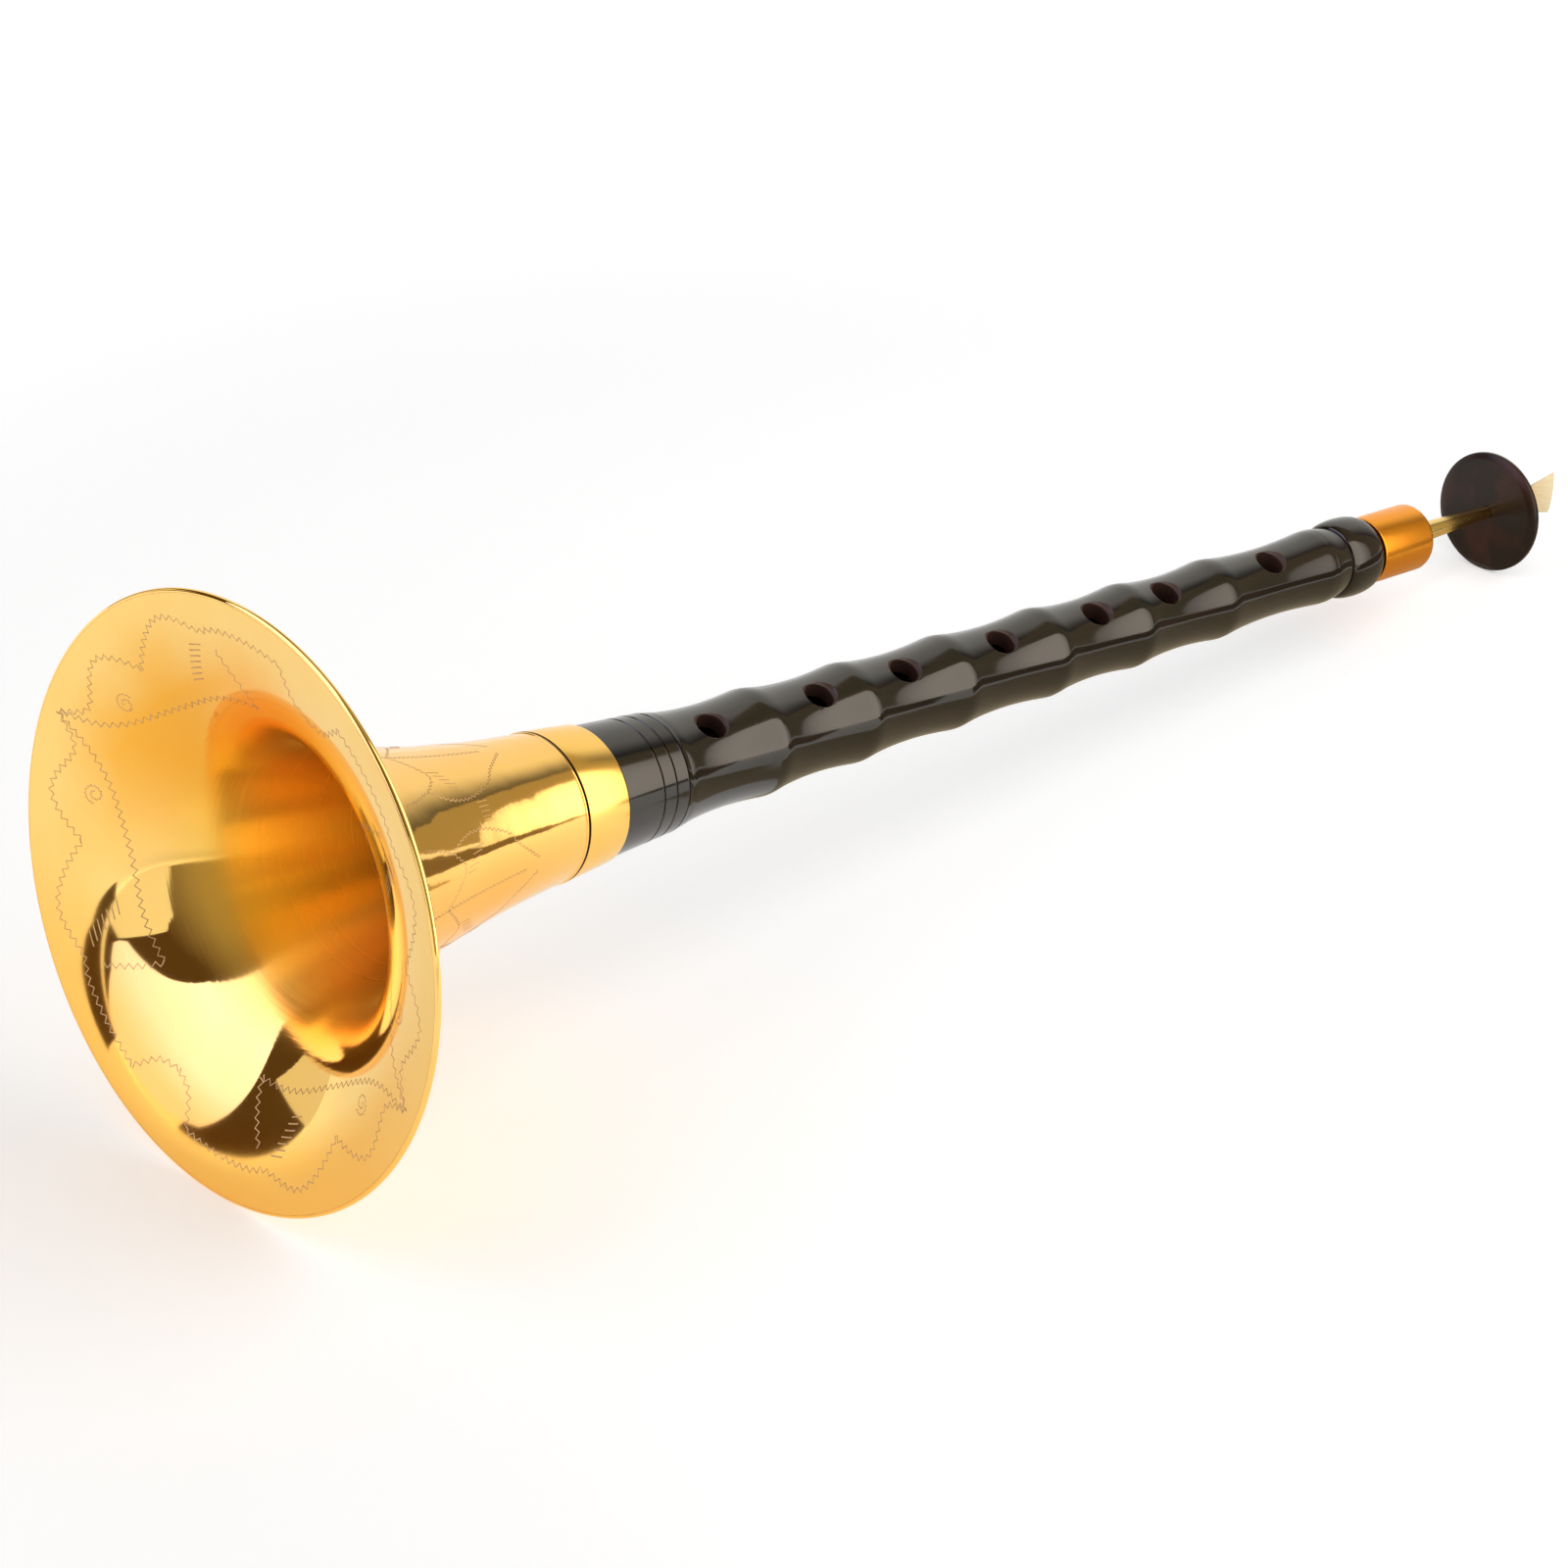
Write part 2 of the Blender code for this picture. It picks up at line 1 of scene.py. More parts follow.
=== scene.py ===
"""Dresses the suona: fine turned surfaces, engraved bell, cane reed, threads, wood and brass."""

import json
import math

import bmesh
import bpy
from mathutils import Matrix, Vector, noise


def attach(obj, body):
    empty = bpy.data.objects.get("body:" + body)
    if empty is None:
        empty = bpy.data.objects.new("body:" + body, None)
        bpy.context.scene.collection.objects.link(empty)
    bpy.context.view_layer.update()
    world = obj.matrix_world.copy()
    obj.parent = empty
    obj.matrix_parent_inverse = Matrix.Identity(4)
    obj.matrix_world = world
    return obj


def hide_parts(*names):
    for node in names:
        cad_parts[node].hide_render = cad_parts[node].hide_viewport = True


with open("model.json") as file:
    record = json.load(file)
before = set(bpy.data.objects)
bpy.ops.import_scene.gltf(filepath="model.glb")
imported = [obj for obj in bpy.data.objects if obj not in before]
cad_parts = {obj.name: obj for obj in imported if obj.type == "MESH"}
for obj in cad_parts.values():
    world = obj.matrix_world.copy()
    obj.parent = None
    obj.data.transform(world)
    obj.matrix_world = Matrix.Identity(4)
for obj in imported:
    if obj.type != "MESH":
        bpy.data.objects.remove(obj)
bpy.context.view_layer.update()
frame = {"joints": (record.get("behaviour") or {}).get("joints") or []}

MM = 0.001
joints = {joint["name"]: joint for joint in frame["joints"]}

# The instrument's own axis: local Z runs from the bell's mouth to the reed, and local -X is up
DISC_START = 414.4 * MM
along = Vector(joints["reed_pull"]["axis"]).normalized()
mouth = Vector(joints["disc_turn"]["pos_m"]) - along * DISC_START
level = Vector((0.0, 1.0, 0.0))
down = level.cross(along)
to_world = Matrix.Translation(mouth) @ Matrix((down, level, along)).transposed().to_4x4()
to_local = to_world.inverted()

# Sizes of the solids, in the order they lie from the mouth
CLEARANCE = 0.3 * MM
BELL_RADIUS = 66.0 * MM
BELL_LENGTH = 85.5 * MM
BELL_WALL = 0.6 * MM
NECK_RADIUS = 16.75 * MM
CONE_SLOPE = 0.0835
CONE_CURVE = 1.665
FLARE_FALL = 7.5 * MM
HEM_WIDTH = 2.2 * MM
HEM_FOLD = 1.5 * MM
ROLL_HEIGHT = 0.25 * MM
ROLL_LENGTH = 0.7 * MM
TENON_LENGTH = 20.0 * MM
TENON_LAPPING = 1.0 * MM
TENON_MARGIN = 3.5 * MM
LOWER_FERRULE_LENGTH = 12.7 * MM
LOWER_FERRULE_STEP = 0.2 * MM
LOWER_FERRULE_TOP_RADIUS = 15.7 * MM
TOP_FERRULE_RADIUS = 8.5 * MM
TOP_FERRULE_LENGTH = 19.5 * MM
TOP_FERRULE_WALL = 0.8 * MM
TOP_FERRULE_END = 1.2 * MM
TOP_FERRULE_ROUND = 1.6 * MM
SHOULDER_RADIUS = 15.1 * MM
FOOT_LENGTH = 20.5 * MM
RIDGE_RADII = [13.6 * MM, 12.5 * MM, 11.8 * MM, 11.3 * MM, 10.9 * MM, 10.45 * MM, 10.05 * MM, 9.45 * MM]
SCALLOP_LENGTHS = [30.3 * MM, 29.7 * MM, 32.0 * MM, 32.4 * MM, 30.0 * MM, 31.0 * MM, 39.0 * MM]
SCALLOP_DEPTH = 1.25 * MM
SCALLOP_FALL_POWER = 2.4
SCALLOP_RISE_POWER = 1.8
RIDGE_ROUND = 2.1 * MM
RIDGE_WEAR = 0.16 * MM
GROOVE_PLACES = [11.2 * MM, 15.2 * MM, 19.2 * MM]
GROOVE_WIDTH = 0.9 * MM
GROOVE_DEPTH = 0.45 * MM
THROAT_LENGTH = 6.6 * MM
THROAT_RADIUS = 8.0 * MM
BEAD_LENGTH = 11.5 * MM
BEAD_RADIUS = 10.0 * MM
COLLAR_NECK_LENGTH = 1.3 * MM
BORE_FOOT_RADIUS = 9.4 * MM
FINGER_HOLE_RADIUS = 3.5 * MM
HOLE_BREAK = 0.5 * MM
FINGER_HOLE_SHARES = [0.41, 0.545, 0.44, 0.45, 0.51, 0.33, 0.47]
THUMB_HOLE_SCALLOP = 5
THUMB_HOLE_SHARE = 0.75
FINGER_HOLE_TURN = math.radians(206.0)
STAPLE_FOOT_RADIUS = 2.7 * MM
STAPLE_FOOT_LENGTH = 26.0 * MM
STAPLE_TIP_RADIUS = 1.5 * MM
STAPLE_WALL = 0.45 * MM
STAPLE_CONE_LENGTH = 35.0 * MM
STAPLE_LAPPING = 0.5 * MM
STAPLE_LAP_MARGIN = 4.0 * MM
DISC_RADIUS = 15.5 * MM
DISC_THICKNESS = 2.0 * MM
REED_PLACE = 2.9 * MM
REED_TUBE_LENGTH = 7.0 * MM
REED_THROAT_LENGTH = 3.0 * MM
REED_BLADE_LENGTH = 12.1 * MM
REED_TUBE_WALL = 0.5 * MM
REED_TIP_WIDTH = 11.2 * MM
REED_THROAT_WIDTH = 6.2 * MM
REED_TIP_THICKNESS = 1.5 * MM
REED_TIP_WALL = 0.3 * MM
REED_SEAT = 7.8 * MM
BINDING_WIRE = 0.5 * MM
BINDING_PITCH = 1.0 * MM
BINDING_TURNS = 4
BINDING_MARGIN = 1.4 * MM

lower_ferrule_start = BELL_LENGTH + CLEARANCE
lower_ferrule_end = lower_ferrule_start + LOWER_FERRULE_LENGTH
tenon_end = BELL_LENGTH - TENON_LENGTH
shoulder = lower_ferrule_end + CLEARANCE
ridge_places = [shoulder + FOOT_LENGTH]
for scallop_length in SCALLOP_LENGTHS:
    ridge_places.append(ridge_places[-1] + scallop_length)
bead_start = ridge_places[-1] + THROAT_LENGTH
bead_end = bead_start + BEAD_LENGTH
top_ferrule_start = bead_end + COLLAR_NECK_LENGTH + CLEARANCE
top_ferrule_end = top_ferrule_start + TOP_FERRULE_LENGTH
pipe_end = top_ferrule_end - TOP_FERRULE_END - CLEARANCE
staple_start = top_ferrule_end - STAPLE_FOOT_LENGTH
socket_end = staple_start - CLEARANCE
staple_cone_end = top_ferrule_end + STAPLE_CONE_LENGTH
disc_end = DISC_START + DISC_THICKNESS
reed_start = disc_end + REED_PLACE
staple_end = max(reed_start + REED_SEAT, staple_cone_end + REED_SEAT / 2)
throat_start = reed_start + REED_TUBE_LENGTH
blade_start = throat_start + REED_THROAT_LENGTH
neck_bore = NECK_RADIUS - BELL_WALL
tenon_lap_bore = neck_bore - CLEARANCE - TENON_LAPPING
tenon_radius = tenon_lap_bore - CLEARANCE
pipe_top_radius = TOP_FERRULE_RADIUS - TOP_FERRULE_WALL - CLEARANCE
staple_lap_bore = STAPLE_FOOT_RADIUS + CLEARANCE
socket_radius = staple_lap_bore + STAPLE_LAPPING + CLEARANCE
bore_top_radius = STAPLE_FOOT_RADIUS - STAPLE_WALL
reed_bore = STAPLE_TIP_RADIUS + CLEARANCE
reed_tube_radius = reed_bore + REED_TUBE_WALL
binding_radius = reed_tube_radius + CLEARANCE + BINDING_WIRE / 2

# The light of the studio, as reflections and as dull surfaces see it
AXIS_ON_FLOOR = mouth.x + along.x * mouth.z / -along.z
NEAR_GLOW = 0.37
FAR_GLOW = 0.52
WORLD_LIGHT = 0.22

# The camera, found from the ellipses of the mouth, the disc and the collar in the photograph
CAMERA_ELEVATION = math.radians(28.89)
CAMERA_AZIMUTH = math.radians(-44.27)
MOUTH_FROM_CAMERA = Vector((-113.82, -24.95, -1024.37)) * MM
CAMERA_LENS = 115.96
SENSOR = 36.0


def set_camera():
    """Level camera; the mouth's centre lies at MOUTH_FROM_CAMERA in its right, up and back axes."""
    e, a = CAMERA_ELEVATION, CAMERA_AZIMUTH
    back = Vector((math.sin(a) * math.cos(e), -math.cos(a) * math.cos(e), math.sin(e)))
    right = Vector((math.cos(a), math.sin(a), 0.0))
    up = back.cross(right)
    turn = Matrix((right, up, back)).transposed()
    data = bpy.data.cameras.new("camera")
    data.lens = CAMERA_LENS
    data.sensor_width = SENSOR
    data.clip_end = 20.0
    camera = bpy.data.objects.new("camera", data)
    bpy.context.scene.collection.objects.link(camera)
    camera.matrix_world = Matrix.Translation(mouth - turn @ MOUTH_FROM_CAMERA) @ turn.to_4x4()
    bpy.context.scene.camera = camera
    return camera


camera = set_camera()


def bell_radius(place):
    """Outer radius of the bell's sheet: a slightly curved cone plus a flare that dies away."""
    depth = BELL_LENGTH - place
    cone = NECK_RADIUS + CONE_SLOPE * depth + CONE_CURVE * depth**2
    mouth_depth = BELL_LENGTH - BELL_WALL
    mouth_cone = NECK_RADIUS + CONE_SLOPE * mouth_depth + CONE_CURVE * mouth_depth**2
    flare = (BELL_RADIUS - mouth_cone) * math.exp(-(place - BELL_WALL) / FLARE_FALL)
    return cone + flare


def bell_slope(place):
    step = 0.01 * MM
    return (bell_radius(place + step) - bell_radius(place - step)) / (2 * step)


def bell_place(radius):
    low, high = BELL_WALL, BELL_LENGTH
    for _ in range(40):
        middle = (low + high) / 2
        if bell_radius(middle) > radius:
            low = middle
        else:
            high = middle
    return (low + high) / 2


def staple_radius(place):
    share = min(max((place - top_ferrule_end) / STAPLE_CONE_LENGTH, 0.0), 1.0)
    return STAPLE_FOOT_RADIUS + share * (STAPLE_TIP_RADIUS - STAPLE_FOOT_RADIUS)


def scallop_radius(index, share):
    ridge_line = RIDGE_RADII[index] + share * (RIDGE_RADII[index + 1] - RIDGE_RADII[index])
    power = SCALLOP_FALL_POWER if share < 0.5 else SCALLOP_RISE_POWER
    from_ridge = min(share, 1 - share) * SCALLOP_LENGTHS[index]
    worn = RIDGE_WEAR * max(0.0, 1 - from_ridge / RIDGE_ROUND) ** 2
    return ridge_line - worn - SCALLOP_DEPTH * (1 - abs(1 - 2 * share) ** power)


def bore_radius(place):
    share = (place - tenon_end) / (socket_end - tenon_end)
    return BORE_FOOT_RADIUS + share * (bore_top_radius - BORE_FOOT_RADIUS)


def finish_mesh(name, shape, material, sharp=30.0):
    """Puts a shape that was made on the local axis into the world, shaded smooth."""
    bmesh.ops.transform(shape, matrix=to_world, verts=shape.verts)
    bmesh.ops.recalc_face_normals(shape, faces=shape.faces)
    mesh = bpy.data.meshes.new(name)
    shape.to_mesh(mesh)
    shape.free()
    mesh.shade_smooth()
    mesh.set_sharp_from_angle(angle=math.radians(sharp))
    obj = bpy.data.objects.new(name, mesh)
    bpy.context.scene.collection.objects.link(obj)
    if material:
        mesh.materials.append(material)
    return obj


def lathe(name, outline, steps, material, sharp=30.0):
    """Turns a closed outline of (radius, place) points about the axis."""
    shape = bmesh.new()
    ring = [shape.verts.new((radius, 0.0, place)) for radius, place in outline]
    edges = [shape.edges.new((ring[i - 1], ring[i])) for i in range(len(ring))]
    bmesh.ops.spin(
        shape,
        geom=ring + edges,
        cent=(0, 0, 0),
        axis=(0, 0, 1),
        angle=2 * math.pi,
        steps=steps,
        use_merge=True,
    )
    return finish_mesh(name, shape, material, sharp)


def arc(centre, radius, start, end, count):
    """Points of a round edge in an outline, at angles in degrees from the outward direction."""
    points = []
    for i in range(count + 1):
        angle = math.radians(start + (end - start) * i / count)
        points.append((centre[0] + radius * math.cos(angle), centre[1] + radius * math.sin(angle)))
    return points


def wire(name, points, thickness, material, resolution=2):
    """A round wire or thread through points on the local axis."""
    curve = bpy.data.curves.new(name, "CURVE")
    curve.dimensions = "3D"
    curve.bevel_depth = thickness / 2
    curve.bevel_resolution = resolution
    curve.use_fill_caps = True
    spline = curve.splines.new("POLY")
    spline.points.add(len(points) - 1)
    for target, point in zip(spline.points, points):
        target.co = (*(to_world @ Vector(point)), 1.0)
    curve.materials.append(material)
    obj = bpy.data.objects.new(name, curve)
    bpy.context.scene.collection.objects.link(obj)
    return obj


class Shader:
    """A material's node tree, with short calls for the nodes used here."""

    def __init__(self, name):
        self.material = bpy.data.materials.new(name)
        self.material.use_nodes = True
        self.nodes = self.material.node_tree.nodes
        self.links = self.material.node_tree.links
        self.surface = self.nodes["Principled BSDF"]

    def node(self, kind, **values):
        made = self.nodes.new(kind)
        for key, value in values.items():
            setattr(made, key, value)
        return made

    def feed(self, socket, value):
        if isinstance(value, bpy.types.NodeSocket):
            self.links.new(value, socket)
        else:
            socket.default_value = value

    def math(self, operation, first, second=0.0, clamp=False):
        made = self.node("ShaderNodeMath", operation=operation, use_clamp=clamp)
        self.feed(made.inputs[0], first)
        self.feed(made.inputs[1], second)
        return made.outputs[0]

    def axis_point(self):
        """The point on the instrument's own axis frame, in metres."""
        coordinates = self.node("ShaderNodeTexCoord").outputs["Object"]
        mapping = self.node("ShaderNodeMapping", vector_type="POINT")
        self.links.new(coordinates, mapping.inputs["Vector"])
        mapping.inputs["Location"].default_value = to_local.translation
        mapping.inputs["Rotation"].default_value = to_local.to_euler()
        return mapping.outputs[0]

    def cylinder(self):
        """(unit x, unit y, radius, place) of the shaded point about the axis."""
        split = self.node("ShaderNodeSeparateXYZ")
        self.links.new(self.axis_point(), split.inputs[0])
        x, y, place = split.outputs
        square = self.math("ADD", self.math("MULTIPLY", x, x), self.math("MULTIPLY", y, y))
        radius = self.math("SQRT", square)
        return self.math("DIVIDE", x, radius), self.math("DIVIDE", y, radius), radius, place

    def round_the_axis(self):
        """The direction in which the lathe turned, at the shaded point."""
        coordinates = self.node("ShaderNodeTexCoord").outputs["Object"]
        reach = self.node("ShaderNodeVectorMath", operation="SUBTRACT")
        self.links.new(coordinates, reach.inputs[0])
        reach.inputs[1].default_value = mouth
        turned = self.node("ShaderNodeVectorMath", operation="CROSS_PRODUCT")
        turned.inputs[0].default_value = along
        self.links.new(reach.outputs[0], turned.inputs[1])
        return turned.outputs[0]

    def vector(self, x, y, z):
        made = self.node("ShaderNodeCombineXYZ")
        self.feed(made.inputs[0], x)
        self.feed(made.inputs[1], y)
        self.feed(made.inputs[2], z)
        return made.outputs[0]

    def noise(self, vector, scale, detail=3.0, roughness=0.5):
        made = self.node("ShaderNodeTexNoise")
        self.feed(made.inputs["Vector"], vector)
        made.inputs["Scale"].default_value = scale
        made.inputs["Detail"].default_value = detail
        made.inputs["Roughness"].default_value = roughness
        return made.outputs["Fac"]

    def spread(self, value, low, high, out_low, out_high):
        made = self.node("ShaderNodeMapRange")
        self.feed(made.inputs["Value"], value)
        made.inputs["From Min"].default_value = low
        made.inputs["From Max"].default_value = high
        self.feed(made.inputs["To Min"], out_low)
        self.feed(made.inputs["To Max"], out_high)
        return made.outputs[0]

    def blend(self, share, first, second):
        made = self.node("ShaderNodeMix", data_type="RGBA")
        self.feed(made.inputs["Factor"], share)
        self.feed(made.inputs["A"], first)
        self.feed(made.inputs["B"], second)
        return made.outputs["Result"]

    def bump(self, height, distance, strength=1.0):
        made = self.node("ShaderNodeBump")
        self.feed(made.inputs["Height"], height)
        made.inputs["Distance"].default_value = distance
        made.inputs["Strength"].default_value = strength
        self.links.new(made.outputs[0], self.surface.inputs["Normal"])
        return made

    def set(self, **values):
        for key, value in values.items():
            self.feed(self.surface.inputs[key.replace("_", " ")], value)


def brass_material(
    name, colour, roughness, wave, satin=None, satin_colour=None, satin_from=0.0, satin_to=0.0, stretch=0.0, marks=0.0,
    painted_reflection=None, painted_reflection_side=(0.0, 0.0), seam=None
):
    """Polished brass with faint clouds and waves.

    Past satin_to on the axis it is finely turned, so satin. The turning marks run round the axis and
    stretch its highlights along it. They are coarse enough to see where the satin begins. A painted
    reflection, a warmer orange standing in for light the brass throws onto itself and the floor, lies on
    one side, given by a direction across the axis, and tarnish in the seam at a place on the axis.
    """
    shader = Shader(name)
    shader.set(Metallic=1.0)
    unit_x, unit_y, radius, place = shader.cylinder()
    cloud = shader.noise(shader.axis_point(), 55.0, 3.0)
    dents = shader.noise(shader.axis_point(), 110.0, 1.0)
    peel = shader.noise(shader.axis_point(), 900.0, 1.0)
    deep = (0.98 * colour[0], 0.9 * colour[1], 0.75 * colour[2])
    tint = shader.blend(shader.spread(cloud, 0.4, 0.8, 0.0, 0.5), (*colour, 1.0), (*deep, 1.0))
    rough = shader.math("ADD", shader.spread(cloud, 0.35, 0.75, -0.01, 0.02), roughness)
    height = shader.math("ADD", dents, shader.math("MULTIPLY", peel, 0.04))
    height = shader.math("MULTIPLY", height, wave / MM)
    # Painted reflection: a warmer orange on one side of the axis, standing in for light the brass throws back onto
    # itself and onto the floor.
    if painted_reflection:
        side = shader.math("MULTIPLY", unit_x, painted_reflection_side[0])
        side = shader.math("ADD", side, shader.math("MULTIPLY", unit_y, painted_reflection_side[1]))
        upper = shader.spread(side, 0.2, 0.85, 0.0, 0.9)
        deeper = shader.spread(shader.math("ADD", place, shader.math("MULTIPLY", cloud, 4 * MM)), 3.5 * MM, 9 * MM, 0.0, 1.0)
        tint = shader.blend(shader.math("MULTIPLY", upper, deeper), tint, (*painted_reflection, 1.0))
    if satin:
        profile = shader.math("ADD", place, shader.math("MULTIPLY", radius, -0.6))
        share = shader.spread(place, satin_from, satin_to, 0.0, 1.0)
        tint = shader.blend(share, tint, (*satin_colour, 1.0))
        rings = shader.vector(
            shader.math("MULTIPLY", unit_x, 0.12),
            shader.math("MULTIPLY", unit_y, 0.12),
            shader.math("MULTIPLY", profile, 1400.0),
        )
        fine = shader.noise(rings, 1.0, 5.0, 0.75)
        marked = shader.math("ADD", satin, shader.spread(fine, 0.4, 0.7, -0.02, 0.04 if marks else 0.0))
        rough = shader.spread(share, 0.0, 1.0, rough, marked)
        coarse = shader.noise(shader.vector(0.0, 0.0, shader.math("MULTIPLY", profile, 800.0)), 1.0, 3.0)
        begins = shader.spread(place, satin_from - 3 * MM, satin_from, 0.0, 1.0)
        seen_rings = shader.math("MULTIPLY", begins, shader.spread(place, satin_to, satin_to + 14 * MM, 1.0, 0.12))
        finer = shader.math("MULTIPLY", shader.math("MULTIPLY", fine, share), 0.035)
        cut = shader.math("ADD", shader.math("MULTIPLY", coarse, seen_rings), finer)
        height = shader.math("ADD", height, shader.math("MULTIPLY", cut, marks / MM))
        if marks:
            # Painted reflection: orange on the low side inside the mouth, near the rim, for light the bell throws onto
            # the floor in front of it.
            low_side = shader.spread(unit_x, 0.0, 0.7, 0.0, 0.75)
            rim = shader.math("MULTIPLY", low_side, shader.spread(place, 3.0 * MM, 6.0 * MM, 1.0, 0.0))
            tint = shader.blend(rim, tint, (1.0, 0.50, 0.08, 1.0))
            shader.set(Metallic=shader.spread(share, 0.0, 1.0, 1.0, 0.87))
        shader.surface.inputs["Anisotropic"].default_value = stretch
        shader.surface.inputs["Anisotropic Rotation"].default_value = 0.25
        shader.links.new(shader.round_the_axis(), shader.surface.inputs["Tangent"])
    if seam:
        from_seam = shader.math("ABSOLUTE", shader.math("SUBTRACT", place, seam))
        tint = shader.blend(shader.spread(from_seam, 0.25 * MM, 0.45 * MM, 0.0, 1.0), (0.09, 0.05, 0.02, 1.0), tint)
    shader.set(Base_Color=tint, Roughness=rough)
    shader.bump(height, MM, 1.0)
    return shader.material


def wood_material(name, colour, streak, roughness, scale, detail, relief, gloss=0.5):
    """Dark dense wood, polished, with faint reddish grain along the axis and small filled pores."""
    shader = Shader(name)
    split = shader.node("ShaderNodeSeparateXYZ")
    shader.links.new(shader.axis_point(), split.inputs[0])
    x, y, place = split.outputs
    grain_point = shader.vector(
        shader.math("MULTIPLY", x, 420.0 * scale),
        shader.math("MULTIPLY", y, 420.0 * scale),
        shader.math("MULTIPLY", place, 22.0 * scale),
    )
    grain = shader.noise(grain_point, 1.0, detail, 0.6)
    pore_point = shader.vector(
        shader.math("MULTIPLY", x, 2600.0), shader.math("MULTIPLY", y, 2600.0), shader.math("MULTIPLY", place, 260.0)
    )
    pores = shader.noise(pore_point, 1.0, 2.0, 0.5)
    tint = shader.blend(shader.spread(grain, 0.45, 0.72, 0.0, 1.0), (*colour, 1.0), (*streak, 1.0))
    rough = shader.math("ADD", roughness, shader.spread(grain, 0.35, 0.8, 0.0, 0.04))
    shader.set(Base_Color=tint, Roughness=rough)
    shader.surface.inputs["IOR"].default_value = 1.5
    shader.surface.inputs["Specular IOR Level"].default_value = gloss
    shader.surface.inputs["Specular Tint"].default_value = (1.0, 0.94, 0.83, 1.0)
    shader.bump(shader.spread(pores, 0.22, 0.4, 0.0, 1.0), 0.00002, relief)
    return shader.material


def plain_material(name, colour, roughness, metallic=0.0):
    shader = Shader(name)
    cloud = shader.noise(shader.axis_point(), 400.0, 3.0)
    darker = tuple(0.6 * channel for channel in colour)
    tint = shader.blend(shader.spread(cloud, 0.3, 0.8, 0.0, 0.7), (*colour, 1.0), (*darker, 1.0))
    rough = shader.spread(cloud, 0.2, 0.8, roughness * 0.85, roughness * 1.15)
    shader.set(Base_Color=tint, Metallic=metallic, Roughness=rough)
    return shader.material


def cane_material():
    """Scraped cane: straw yellow with long fibres, paler and thinner towards the tip."""
    shader = Shader("cane_scraped")
    split = shader.node("ShaderNodeSeparateXYZ")
    shader.links.new(shader.axis_point(), split.inputs[0])
    x, y, place = split.outputs
    fibre_point = shader.vector(
        shader.math("MULTIPLY", x, 5000.0), shader.math("MULTIPLY", y, 5000.0), shader.math("MULTIPLY", place, 250.0)
    )
    fibre = shader.noise(fibre_point, 1.0, 3.0, 0.6)
    tip = shader.spread(place, blade_start, blade_start + REED_BLADE_LENGTH, 0.0, 1.0)
    base = shader.blend(tip, (0.76, 0.53, 0.25, 1.0), (0.97, 0.82, 0.52, 1.0))
    tint = shader.blend(shader.spread(fibre, 0.4, 0.8, 0.0, 0.5), base, (0.55, 0.34, 0.13, 1.0))
    shader.set(Base_Color=tint, Roughness=0.5, Subsurface_Weight=0.25)
    shader.surface.inputs["Subsurface Radius"].default_value = (0.002, 0.0012, 0.0006)
    shader.bump(fibre, 0.00004, 0.6)
    return shader.material


seam = BELL_LENGTH + CLEARANCE / 2
gold = brass_material(
    "bell_brass",
    (1.0, 0.66, 0.205),
    0.045,
    0.004 * MM,
    satin=0.25,
    satin_colour=(1.0, 0.60, 0.08),
    satin_from=13 * MM,
    satin_to=26 * MM,
    stretch=0.93,
    marks=0.024 * MM,
    # painted reflection: warm orange on the upper side of the flare
    painted_reflection=(1.0, 0.46, 0.04),
    painted_reflection_side=(-0.87, 0.5),
)
gold_outside = brass_material(
    "bell_brass_outside",
    (1.0, 0.61, 0.18),
    0.06,
    0.13 * MM,
    satin=0.13,
    satin_colour=(1.0, 0.60, 0.16),
    satin_from=60 * MM,
    satin_to=85 * MM,
    stretch=0.2,
    # painted reflection: warm orange on the lower side of the outside
    painted_reflection=(1.0, 0.50, 0.08),
    painted_reflection_side=(0.8, -0.6),
    seam=seam,
)
engraved = plain_material("engraved_cuts", (0.66, 0.40, 0.17), 0.42, 1.0)
ferrule_gold = brass_material("lower_ferrule_brass", (1.0, 0.61, 0.15), 0.17, 0.03 * MM, seam=seam)
satin_gold = brass_material("top_ferrule_brass", (0.96, 0.36, 0.028), 0.27, 0.003 * MM)
staple_gold = brass_material("staple_brass_tube", (0.94, 0.66, 0.22), 0.17, 0.003 * MM)
pipe_wood = wood_material("pipe_blackwood", (0.004, 0.003, 0.0025), (0.017, 0.006, 0.004), 0.085, 1.0, 6.0, 0.15, 0.7)
hole_wood = plain_material("hole_wood", (0.036, 0.012, 0.006), 0.5)
disc_wood = wood_material("disc_blackwood", (0.016, 0.009, 0.008), (0.050, 0.015, 0.010), 0.22, 0.3, 1.5, 0.0, 0.3)
cane = cane_material()
copper = plain_material("copper_binding", (0.80, 0.36, 0.18), 0.3, 1.0)
red_thread = plain_material("waxed_red_thread", (0.45, 0.05, 0.035), 0.55)
pale_thread = plain_material("pale_silk_thread", (0.72, 0.62, 0.42), 0.6)


def inner_point(place):
    """The point on the inner side of the bell's sheet behind an outer point."""
    slope = bell_slope(place)
    length = math.hypot(1, slope)
    return bell_radius(place) - BELL_WALL / length, place + BELL_WALL * slope / length


